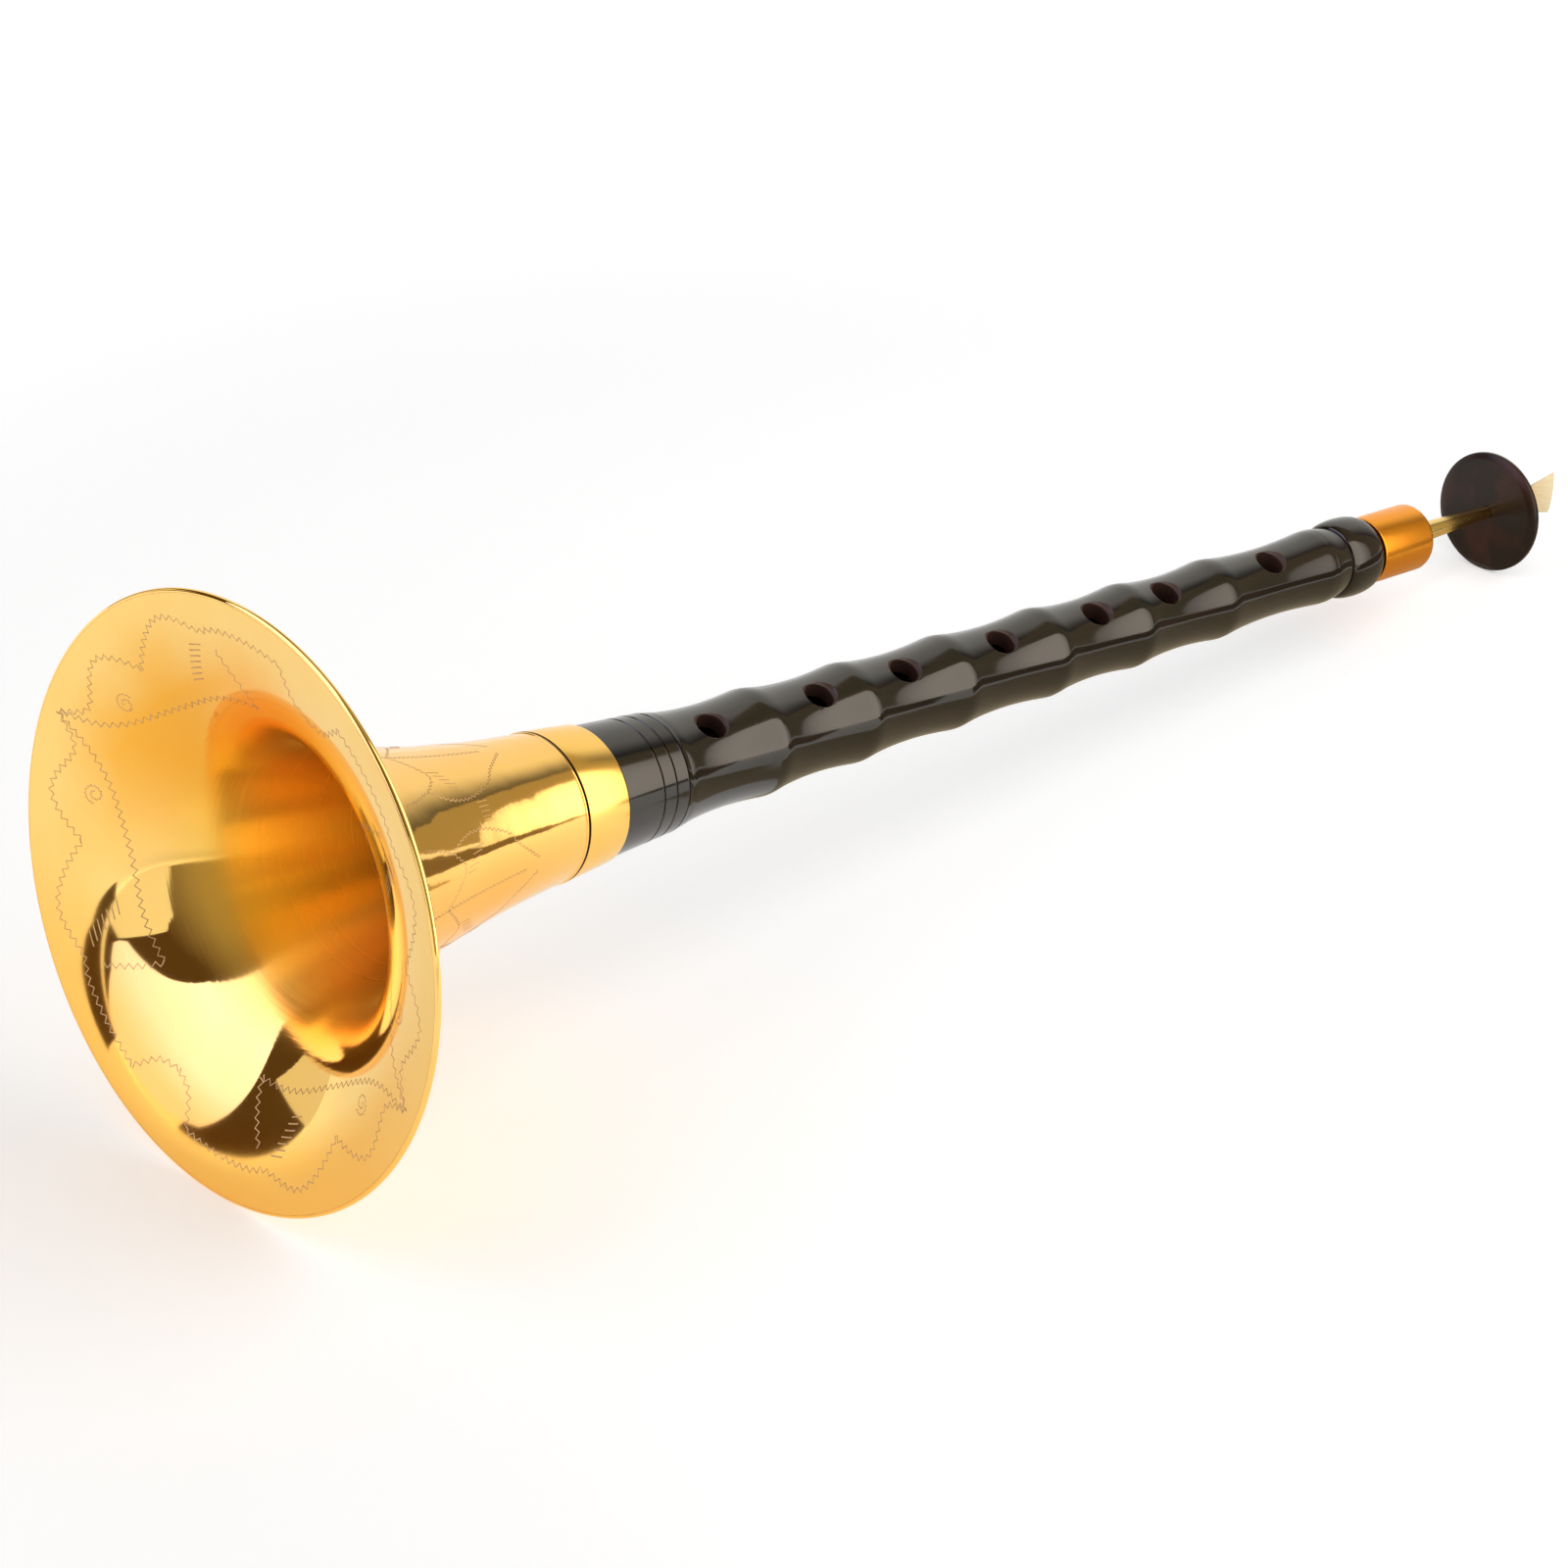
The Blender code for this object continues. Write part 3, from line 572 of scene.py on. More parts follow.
def bell_outline():
    """The same sheet as the solid's, with more stations, a rim folded over into a hem and a rolled lip."""
    neck_start = BELL_LENGTH - ROLL_LENGTH
    hem_edge = BELL_RADIUS - HEM_WIDTH
    fold = HEM_FOLD / 2
    count = 120
    front = []
    for i in range(count + 1):
        share = 1 - (1 - i / count) ** 2.2
        radius, place = inner_point(neck_start - share * (neck_start - BELL_WALL))
        if radius < BELL_RADIUS - fold:
            front.append((radius, place))
    lean = math.degrees(math.atan2(front[-1][1] - front[-2][1], front[-1][0] - front[-2][0]))
    reach = BELL_RADIUS - fold - front[-1][0]
    height = front[-1][1] + reach * math.tan(math.radians(lean)) + fold / math.cos(math.radians(lean))
    rim = arc((BELL_RADIUS - fold, height), fold, lean - 90, lean + 90, 18)
    back = [
        (hem_edge, rim[-1][1] + (hem_edge - rim[-1][0]) * math.tan(math.radians(lean))),
        (hem_edge - 0.1 * MM, rim[-1][1] + (hem_edge - rim[-1][0]) * math.tan(math.radians(lean)) - 0.1 * MM),
    ]
    for i in range(count + 1):
        place = BELL_WALL + (i / count) ** 2.2 * (neck_start - BELL_WALL)
        if bell_radius(place) < hem_edge - 0.1 * MM:
            back.append((bell_radius(place), place))
    roll = ROLL_HEIGHT
    lip = arc((NECK_RADIUS, BELL_LENGTH - ROLL_LENGTH / 2), ROLL_LENGTH / 2, -80, 80, 10)
    lip = [(NECK_RADIUS + (radius - NECK_RADIUS) * 2 * roll / ROLL_LENGTH, place) for radius, place in lip]
    inside = [(NECK_RADIUS - BELL_WALL, BELL_LENGTH)]
    return front + rim + back + lip + inside


def make_bell():
    bell = lathe("bell_sheet", bell_outline(), 288, gold)
    bell.data.materials.append(gold_outside)
    for face in bell.data.polygons:
        outward = to_local.to_3x3() @ face.normal
        centre = to_local @ face.center
        if outward.xy.dot(centre.xy) > 0 and centre.z > 2 * HEM_FOLD:
            face.material_index = 1
    return bell


def surface_point(angle, radius, inside=True):
    """(point, normal) on the bell's sheet in the local frame, inside or outside, at a radius."""
    lift = 0.012 * MM
    if inside:
        place = bell_place(radius)
        for _ in range(3):
            slope = bell_slope(place)
            place = bell_place(radius + BELL_WALL / math.hypot(1, slope))
        slope = bell_slope(place)
        length = math.hypot(1, slope)
        spot = (bell_radius(place) - BELL_WALL / length, place + BELL_WALL * slope / length)
        normal = (-1 / length, slope / length)
    else:
        place = bell_place(radius)
        slope = bell_slope(place)
        length = math.hypot(1, slope)
        spot = (radius, place)
        normal = (1 / length, -slope / length)
    reach = spot[0] + lift * normal[0]
    point = Vector((reach * math.cos(angle), reach * math.sin(angle), spot[1] + lift * normal[1]))
    return point, Vector((normal[0] * math.cos(angle), normal[0] * math.sin(angle), normal[1]))


def engrave(shape, path, inside, zigzag=0.62 * MM, period=2.2 * MM, width=0.32 * MM, ridge=0.035 * MM):
    """Adds a zigzag cut along a path of (angle, radius) points, as a low ridge of two slopes."""
    spots = [surface_point(angle, radius, inside) for angle, radius in path]
    lengths = [0.0]
    for first, second in zip(spots, spots[1:]):
        lengths.append(lengths[-1] + (second[0] - first[0]).length)
    count = max(2, round(lengths[-1] / (period / 2)))
    line = []
    j = 0
    for i in range(count + 1):
        target = lengths[-1] * i / count
        while j < len(lengths) - 2 and lengths[j + 1] < target:
            j += 1
        share = (target - lengths[j]) / max(lengths[j + 1] - lengths[j], 1e-9)
        angle = path[j][0] + share * (path[j + 1][0] - path[j][0])
        radius = path[j][1] + share * (path[j + 1][1] - path[j][1])
        point, normal = surface_point(angle, radius, inside)
        tangent = (spots[j + 1][0] - spots[j][0]).normalized()
        side = normal.cross(tangent).normalized()
        swing = zigzag if i % 2 else -zigzag
        line.append((point + side * swing, normal))
    rows = []
    for i, (point, normal) in enumerate(line):
        before = line[max(i - 1, 0)][0]
        after = line[min(i + 1, len(line) - 1)][0]
        forward = (after - before).normalized()
        side = normal.cross(forward).normalized() * width / 2
        rows.append(
            (
                shape.verts.new(point + side),
                shape.verts.new(point + normal * ridge),
                shape.verts.new(point - side),
            )
        )
    for first, second in zip(rows, rows[1:]):
        shape.faces.new((first[0], first[1], second[1], second[0]))
        shape.faces.new((first[1], first[2], second[2], second[1]))


def curve_path(points, count=24):
    """A smooth path through (degrees, radius in mm) points, as (radians, metres)."""
    path = []
    last = len(points) - 1
    for i in range(count * last + 1):
        t = i / count
        k = min(int(t), last - 1)
        u = t - k
        p0 = points[max(k - 1, 0)]
        p1, p2 = points[k], points[k + 1]
        p3 = points[min(k + 2, last)]
        value = []
        for a, b, c, d in zip(p0, p1, p2, p3):
            value.append(
                0.5 * (2 * b + (c - a) * u + (2 * a - 5 * b + 4 * c - d) * u**2 + (3 * b - a - 3 * c + d) * u**3)
            )
        path.append((math.radians(value[0]), value[1] * MM))
    return path


def curl(turn, radius, size):
    """A small spiral of one and a half turns, as (degrees, radius in mm) points."""
    points = []
    for i in range(13):
        angle = 1.5 * 2 * math.pi * i / 12
        reach = size * (1 - 0.75 * i / 12)
        points.append((turn + math.degrees(reach * math.cos(angle) / radius), radius + reach * math.sin(angle)))
    return points


def engrave_inside():
    """On the flare two pairs of mirrored leaves, each with a lobed edge, a vein, a comb and a curl."""
    lobe = [(0, 61.5), (6, 55.5), (18, 59.7), (28, 52)]
    cloud = [(28, 52), (42, 60), (54, 57), (60, 57.8), (80, 57.8)]
    bud = [(80, 57.8), (84, 51.5), (90, 49.5)]
    leaf = [(0, 61.5), (3, 54), (6, 50), (11, 46.5), (20, 43.5), (33, 41.5), (50, 41.3), (64, 40.5)]
    vein = [(64, 40.5), (61, 46.5), (57.5, 53)]
    shape = bmesh.new()
    for centre in (21, 201):
        for side in (-1, 1):
            for line in (lobe, cloud, bud, leaf, vein):
                path = [(centre + side * (90 - turn), radius) for turn, radius in line]
                engrave(shape, curve_path(path), True)
            path = [(centre + side * (90 - turn), radius) for turn, radius in curl(15, 49.5, 2.4)]
            engrave(shape, curve_path(path), True, zigzag=0.2 * MM, period=0.9 * MM, width=0.22 * MM)
            for j in range(7):
                turn = centre + side * (47 - j)
                radius = (46 + 1.3 * j) * MM
                stroke = [(math.radians(turn), radius), (math.radians(turn - 4 * side), radius)]
                engrave(shape, stroke, True, zigzag=0.0, period=2 * MM)
    return finish_mesh("bell_engraving_inside", shape, engraved)


def outside_path(points, centre, side):
    """A smooth path on the bell's outside through (degrees from the centre, place in mm) points."""
    turned = [(centre + side * turn, bell_radius(place * MM) / MM) for turn, place in points]
    return curve_path(turned)


def engrave_outside():
    """On the cone four tulips, each with a comb inside and fans beside it, and a line between them."""
    petal = [(40, 70), (33, 67), (25, 63.5), (17, 61), (12, 57), (9, 53)]
    waist = [(9, 53), (9.5, 49), (12, 46), (17, 42.5)]
    foot = [(17, 42.5), (13, 37.5), (11, 33.5)]
    arch = [(17, 42.5), (26, 46), (36, 43.5), (45, 40)]
    between_tulips = [(45, 32), (45, 50), (45, 66)]
    fine = {"zigzag": 0.3 * MM, "period": 1.3 * MM, "width": 0.26 * MM, "ridge": 0.03 * MM}
    straight = {"zigzag": 0.0, "period": 2 * MM, "width": 0.18 * MM, "ridge": 0.03 * MM}
    shape = bmesh.new()
    for centre in (50, 140, 230, 320):
        for side in (-1, 1):
            for line in (petal, waist, foot, arch):
                engrave(shape, outside_path(line, centre, side), False, **fine)
            for j in range(5):
                turn = centre + side * (17 + 3 * j)
                stroke = [(math.radians(turn), bell_radius((52.5 - 0.8 * j) * MM))]
                stroke.append((math.radians(turn + side), bell_radius((49.5 - 0.8 * j) * MM)))
                engrave(shape, stroke, False, **straight)
        engrave(shape, outside_path(between_tulips, centre, 1), False, **fine)
        for j in range(5):
            turn = math.radians(centre - 6 + 3 * j)
            stroke = [(turn, bell_radius(57.5 * MM)), (turn, bell_radius(54.5 * MM))]
            engrave(shape, stroke, False, **straight)
    return finish_mesh("bell_engraving_outside", shape, engraved)


def pipe_outline():
    """The wood: the same turning as the solid's, with fine curves, crisp ridges and cut grooves."""
    ease = 0.25 * MM
    outer = [
        (pipe_top_radius - ease, pipe_end),
        (pipe_top_radius, pipe_end - ease),
        (pipe_top_radius, top_ferrule_start - CLEARANCE),
        (THROAT_RADIUS, top_ferrule_start - CLEARANCE),
    ]
    groove = THROAT_RADIUS + 0.4 * MM
    soft = 0.4 * MM

    def eased(radius):
        return groove + soft * math.log(1 + math.exp((radius - groove) / soft))

    for i in range(41):
        angle = math.pi * i / 40
        radius = THROAT_RADIUS + (BEAD_RADIUS - THROAT_RADIUS) * math.sin(angle) ** 0.65
        outer.append((eased(radius), (bead_start + bead_end) / 2 + BEAD_LENGTH / 2 * math.cos(angle)))
    for i in range(1, 20):
        share = 1 - i / 20
        fall = 0.6 * math.sqrt(1 - share**2) + 0.2 * (1 + math.cos(math.pi * share))
        radius = THROAT_RADIUS + (RIDGE_RADII[-1] - RIDGE_WEAR - THROAT_RADIUS) * fall
        outer.append((eased(radius), bead_start - THROAT_LENGTH * (1 - share)))
    stations = 32
    for index in reversed(range(len(SCALLOP_LENGTHS))):
        for i in range(stations):
            share = (1 + math.cos(math.pi * i / stations)) / 2
            place = ridge_places[index] + share * SCALLOP_LENGTHS[index]
            outer.append((scallop_radius(index, share), place))
    outer.append((RIDGE_RADII[0] - RIDGE_WEAR, ridge_places[0]))
    for groove in reversed(GROOVE_PLACES):
        for i in range(9):
            offset = 0.5 - i / 8
            place = groove + offset * GROOVE_WIDTH * 0.7
            radius = SHOULDER_RADIUS + (RIDGE_RADII[0] - SHOULDER_RADIUS) * place / FOOT_LENGTH
            outer.append((radius - GROOVE_DEPTH * 0.8 * math.cos(math.pi * offset) ** 0.6, shoulder + place))
    outer += [
        (SHOULDER_RADIUS, shoulder + ease),
        (SHOULDER_RADIUS - ease, shoulder),
        (tenon_radius, shoulder),
        (tenon_radius, tenon_end + ease),
        (tenon_radius - ease, tenon_end),
    ]
    bore = [
        (BORE_FOOT_RADIUS + ease, tenon_end),
        (BORE_FOOT_RADIUS, tenon_end + ease),
        (bore_top_radius, socket_end),
        (socket_radius, socket_end),
        (socket_radius, pipe_end),
    ]
    return outer + bore


def hole_cutter(name, index, share, turn):
    """A drill with a rounded mouth that breaks the hole's edge."""
    place = ridge_places[index] + share * SCALLOP_LENGTHS[index]
    surface = scallop_radius(index, share)
    lip = surface - FINGER_HOLE_RADIUS**2 / (2 * surface)
    reach = RIDGE_RADII[0]
    shape = bmesh.new()
    outline = [(0.0, reach + HOLE_BREAK), (FINGER_HOLE_RADIUS + HOLE_BREAK + reach - lip, reach + HOLE_BREAK)]
    for i in range(7):
        angle = math.pi / 2 * i / 6
        outline.append(
            (
                FINGER_HOLE_RADIUS + HOLE_BREAK * (1 - math.sin(angle)),
                lip - HOLE_BREAK * (1 - math.cos(angle)),
            )
        )
    outline += [(FINGER_HOLE_RADIUS, bore_radius(place) / 2), (0.0, bore_radius(place) / 2)]
    points = [shape.verts.new((radius, 0.0, height)) for radius, height in outline]
    edges = [shape.edges.new((a, b)) for a, b in zip(points, points[1:])]
    bmesh.ops.spin(
        shape, geom=points + edges, cent=(0, 0, 0), axis=(0, 0, 1), angle=2 * math.pi, steps=48, use_merge=True
    )
    bmesh.ops.remove_doubles(shape, verts=shape.verts, dist=0.000001)
    turn_matrix = Matrix.Rotation(turn, 4, "Z") @ Matrix.Rotation(math.pi / 2, 4, "Y")
    bmesh.ops.transform(shape, matrix=Matrix.Translation((0, 0, place)) @ turn_matrix, verts=shape.verts)
    return finish_mesh(name, shape, hole_wood)


def make_pipe():
    pipe = lathe("pipe_turned", pipe_outline(), 144, pipe_wood, 28.0)
    pipe.data.materials.append(hole_wood)
    cutters = bpy.data.collections.new("drills")
    bpy.context.scene.collection.children.link(cutters)
    spots = [(i, share, FINGER_HOLE_TURN) for i, share in enumerate(FINGER_HOLE_SHARES)]
    spots.append((THUMB_HOLE_SCALLOP, THUMB_HOLE_SHARE, FINGER_HOLE_TURN + math.pi))
    drills = []
    for number, (index, share, turn) in enumerate(spots):
        drill = hole_cutter(f"drill_{number}", index, share, turn)
        bpy.context.scene.collection.objects.unlink(drill)
        cutters.objects.link(drill)
        drills.append(drill)
    boolean = pipe.modifiers.new("holes", "BOOLEAN")
    boolean.operation = "DIFFERENCE"
    boolean.solver = "EXACT"
    boolean.operand_type = "COLLECTION"
    boolean.collection = cutters
    boolean.material_mode = "TRANSFER"
    bpy.context.view_layer.update()
    evaluated = pipe.evaluated_get(bpy.context.evaluated_depsgraph_get())
    cut = bpy.data.meshes.new_from_object(evaluated)
    pipe.modifiers.clear()
    pipe.data = cut
    for drill in drills:
        bpy.data.objects.remove(drill)
    bpy.data.collections.remove(cutters)
    cut.shade_smooth()
    cut.set_sharp_from_angle(angle=math.radians(28))
    return pipe


def make_lower_ferrule():
    bore = tenon_radius + CLEARANCE
    low = NECK_RADIUS + LOWER_FERRULE_STEP
    top = LOWER_FERRULE_TOP_RADIUS
    bend = 0.3 * MM
    edge = 0.15 * MM
    outline = [(bore + bend, lower_ferrule_end)]
    outline += arc((top - bend, lower_ferrule_end - bend), bend, 90, 0, 6)
    outline += arc((low - edge, lower_ferrule_start + edge), edge, 0, -90, 6)
    outline += [(bore, lower_ferrule_start), (bore, lower_ferrule_end - bend)]
    return lathe("lower_ferrule_turned", outline, 192, ferrule_gold)


def make_top_ferrule():
    skirt_bore = TOP_FERRULE_RADIUS - TOP_FERRULE_WALL
    bend = TOP_FERRULE_ROUND
    edge = 0.25 * MM
    outline = [(socket_radius + edge, top_ferrule_end)]
    outline += arc((TOP_FERRULE_RADIUS - bend, top_ferrule_end - bend), bend, 90, 0, 12)
    outline += arc((TOP_FERRULE_RADIUS - edge, top_ferrule_start + edge), edge, 0, -90, 5)
    outline += [
        (skirt_bore, top_ferrule_start),
        (skirt_bore, top_ferrule_end - TOP_FERRULE_END),
        (socket_radius, top_ferrule_end - TOP_FERRULE_END),
        (socket_radius, top_ferrule_end - edge),
    ]
    return lathe("top_ferrule_turned", outline, 128, satin_gold)


def make_staple():
    outer = [(STAPLE_TIP_RADIUS, staple_end), (STAPLE_TIP_RADIUS, staple_cone_end)]
    for i in range(9):
        place = staple_cone_end + (top_ferrule_end - staple_cone_end) * i / 8
        outer.append((staple_radius(place), place))
    outer.append((STAPLE_FOOT_RADIUS, staple_start))
    inner = [(radius - STAPLE_WALL, place) for radius, place in reversed(outer)]
    return lathe("staple_turned", outer + inner, 64, staple_gold)


def make_disc():
    fit = 0.08 * MM
    bend = 0.5 * MM
    dome = 7.4 * MM
    fall = 71.0
    rim = DISC_RADIUS - bend + (bend - dome) * math.cos(math.radians(fall))
    rise = (dome - bend) * (1 - math.sin(math.radians(fall)))
    outline = [(staple_radius(disc_end) + fit, disc_end)]
    outline += arc((DISC_RADIUS - bend, disc_end - bend), bend, 90, 0, 8)
    outline += arc((DISC_RADIUS - bend, DISC_START + rise + bend), bend, 0, -fall, 8)
    outline += arc((rim, DISC_START + dome), dome, -fall - 2, -90, 9)
    outline.append((staple_radius(DISC_START) + fit, DISC_START))
    return lathe("lip_disc_turned", outline, 160, disc_wood, 40.0)


def reed_sections(count):
    """(place, outer half width, outer half thickness, wall) from the tube's end to the tip."""
    throat_flatness = 0.82 * reed_tube_radius
    sections = [(reed_start, reed_tube_radius, reed_tube_radius, REED_TUBE_WALL)]
    sections.append((throat_start, reed_tube_radius, reed_tube_radius, REED_TUBE_WALL))
    for i in range(1, 7):
        share = i / 6
        ease = share * share * (3 - 2 * share)
        width = reed_tube_radius + share * (REED_THROAT_WIDTH / 2 - reed_tube_radius)
        thickness = reed_tube_radius + ease * (throat_flatness - reed_tube_radius)
        sections.append((throat_start + share * REED_THROAT_LENGTH, width, thickness, REED_TUBE_WALL))
    for i in range(1, count + 1):
        share = i / count
        thin = 1 - (1 - share) ** 1.6
        width = REED_THROAT_WIDTH / 2 + share * (REED_TIP_WIDTH - REED_THROAT_WIDTH) / 2
        thickness = throat_flatness + thin * (REED_TIP_THICKNESS / 2 - throat_flatness)
        wall = REED_TUBE_WALL + thin * (REED_TIP_WALL - REED_TUBE_WALL)
        sections.append((blade_start + share * REED_BLADE_LENGTH, width, thickness, wall))
    return sections


def make_reed():
    """Two blades of cane from one tube, pressed flat at the tip, with sharp side edges."""
    shape = bmesh.new()
    around = 64
    rings = []
    sections = reed_sections(14)

    def ring(place, width, thickness):
        points = []
        for i in range(around):
            angle = 2 * math.pi * (i + 0.5) / around
            fibre = 1 + 0.012 * noise.noise(Vector((math.cos(angle) * 5, math.sin(angle) * 5, 0.0)))
            x = width * math.cos(angle)
            y = thickness * math.sin(angle) * fibre
            points.append(shape.verts.new((x, y, place)))
        return [shape.edges.new((points[i - 1], points[i])) for i in range(around)]

    for place, width, thickness, _ in sections:
        rings.append(ring(place, width, thickness))
    for place, width, thickness, wall in reversed(sections):
        rings.append(ring(place, width - wall, thickness - wall))
    for i, loop in enumerate(rings):
        bmesh.ops.bridge_loops(shape, edges=rings[i - 1] + loop)
    return finish_mesh("reed_blades", shape, cane, 40.0)


def helix(radius, start, turns, pitch, around):
    points = []
    for i in range(turns * around + 1):
        angle = 2 * math.pi * i / around
        points.append((radius * math.cos(angle), radius * math.sin(angle), start + pitch * i / around))
    return points


def make_lapping(name, bore, thickness, start, end, thread, material):
    """Thread wound side by side over the lapping's length, in one run, on a core of the same thread."""
    length = end - start
    turns = int((length - thread) / (thread * 1.08))
    pitch = (length - thread) / turns
    points = helix(bore + thickness - thread / 2, start + thread / 2, turns, pitch, 40)
    coil = wire(name, points, thread, material, 1)
    core = lathe(
        name + "_core",
        [
            (bore + thickness - thread * 0.7, end),
            (bore + thickness - thread * 0.7, start),
            (bore, start),
            (bore, end),
        ],
        48,
        material,
    )
    return coil, core


def dress():
    """Makes each piece, puts it on its body and hides the solids that it stands for."""
    rows = []
    bell = make_bell()
    rows.append((bell, "bell", "polished_brass", ["bell"]))
    rows.append((engrave_inside(), "bell", "polished_brass", []))
    rows.append((engrave_outside(), "bell", "polished_brass", []))
    rows.append((make_pipe(), "pipe", "blackwood", ["pipe_body"]))
    rows.append((make_lower_ferrule(), "pipe", "ferrule_brass", ["lower_ferrule"]))
    rows.append((make_top_ferrule(), "pipe", "satin_brass", ["top_ferrule"]))
    coil, core = make_lapping(
        "tenon_thread",
        tenon_lap_bore,
        TENON_LAPPING,
        tenon_end + TENON_MARGIN,
        BELL_LENGTH - CLEARANCE,
        0.45 * MM,
        red_thread,
    )
    rows.append((coil, "pipe", "waxed_thread", ["tenon_lapping"]))
    rows.append((core, "pipe", "waxed_thread", []))
    rows.append((make_staple(), "staple", "staple_brass", ["staple_tube"]))
    coil, core = make_lapping(
        "staple_thread",
        staple_lap_bore,
        STAPLE_LAPPING,
        staple_start + STAPLE_LAP_MARGIN,
        top_ferrule_end - CLEARANCE,
        0.3 * MM,
        pale_thread,
    )
    rows.append((coil, "staple", "silk_thread", ["staple_lapping"]))
    rows.append((core, "staple", "silk_thread", []))
    rows.append((make_disc(), "lip_disc", "disc_wood", ["lip_disc"]))
    rows.append((make_reed(), "reed", "cane", ["reed_cane"]))
    start = reed_start + BINDING_MARGIN
    points = helix(binding_radius, start, BINDING_TURNS, BINDING_PITCH, 48)
    rows.append((wire("reed_wire", points, BINDING_WIRE, copper, 3), "reed", "copper_wire", ["reed_binding"]))
    for piece, body, slot, nodes in rows:
        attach(piece, body)
        if nodes:
            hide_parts(*nodes)


def aim(place, facing, across):
    """The turn that looks along facing, with X as nearly along across as that lets it."""
    toward = Vector(facing).normalized()
    right = (Vector(across) - toward * toward.dot(Vector(across))).normalized()
    turn = Matrix((right, right.cross(toward), -toward)).transposed().to_4x4()
    return Matrix.Translation(place) @ turn


def lamp(name, place, facing, across, width, height, light):
    """A soft rectangular lamp that reflections don't see."""
    data = bpy.data.lights.new(name, "AREA")
    data.shape = "RECTANGLE"
    data.size = width
    data.size_y = height
    data.energy = light * math.pi * width * height
    obj = bpy.data.objects.new(name, data)
    bpy.context.scene.collection.objects.link(obj)
    obj.matrix_world = aim(place, facing, across)
    obj.visible_glossy = False


def card(name, place, facing, across, corners, brightness, fade=0.0, dim=0.15, colour=(1.0, 0.99, 0.94)):
    """A glowing card that only reflections see, with corners (along across, at right angles to it).

    Its brightness falls to a share dim over the last share fade of its width, towards across.
    """
    shape = bmesh.new()
    shape.faces.new([shape.verts.new((x, y, 0.0)) for x, y in corners])
    made = flag(name, shape, colour)
    made.matrix_world = aim(place, facing, across)
    tree = made.data.materials[0].node_tree
    surface = tree.nodes["Principled BSDF"]
    split = tree.nodes.new("ShaderNodeSeparateXYZ")
    tree.links.new(tree.nodes.new("ShaderNodeTexCoord").outputs["Object"], split.inputs[0])
    level_off = tree.nodes.new("ShaderNodeMapRange")
    level_off.interpolation_type = "SMOOTHSTEP"
    tree.links.new(split.outputs["X"], level_off.inputs["Value"])
    start = min(x for x, _ in corners)
    end = max(x for x, _ in corners)
    level_off.inputs["From Min"].default_value = end - fade * (end - start)
    level_off.inputs["From Max"].default_value = end + 0.001
    level_off.inputs["To Min"].default_value = brightness
    level_off.inputs["To Max"].default_value = brightness * (dim if fade else 1.0)
    tree.links.new(level_off.outputs[0], surface.inputs["Emission Strength"])


def oblong(width, height):
    return [(-width / 2, -height / 2), (width / 2, -height / 2), (width / 2, height / 2), (-width / 2, height / 2)]


def flag(name, shape, colour):
    """A dark studio surface that only reflections see."""
    mesh = bpy.data.meshes.new(name)
    shape.to_mesh(mesh)
    shape.free()
    obj = bpy.data.objects.new(name, mesh)
    bpy.context.scene.collection.objects.link(obj)
    material = bpy.data.materials.new(name)
    material.use_nodes = True
    surface = material.node_tree.nodes["Principled BSDF"]
    surface.inputs["Base Color"].default_value = (0.0, 0.0, 0.0, 1.0)
    surface.inputs["Specular IOR Level"].default_value = 0.0
    surface.inputs["Emission Color"].default_value = (*colour, 1.0)
    surface.inputs["Emission Strength"].default_value = 1.0
    mesh.materials.append(material)
    obj.visible_camera = False
    obj.visible_diffuse = False
    obj.visible_transmission = False
    obj.visible_volume_scatter = False
    obj.visible_shadow = False
    return obj


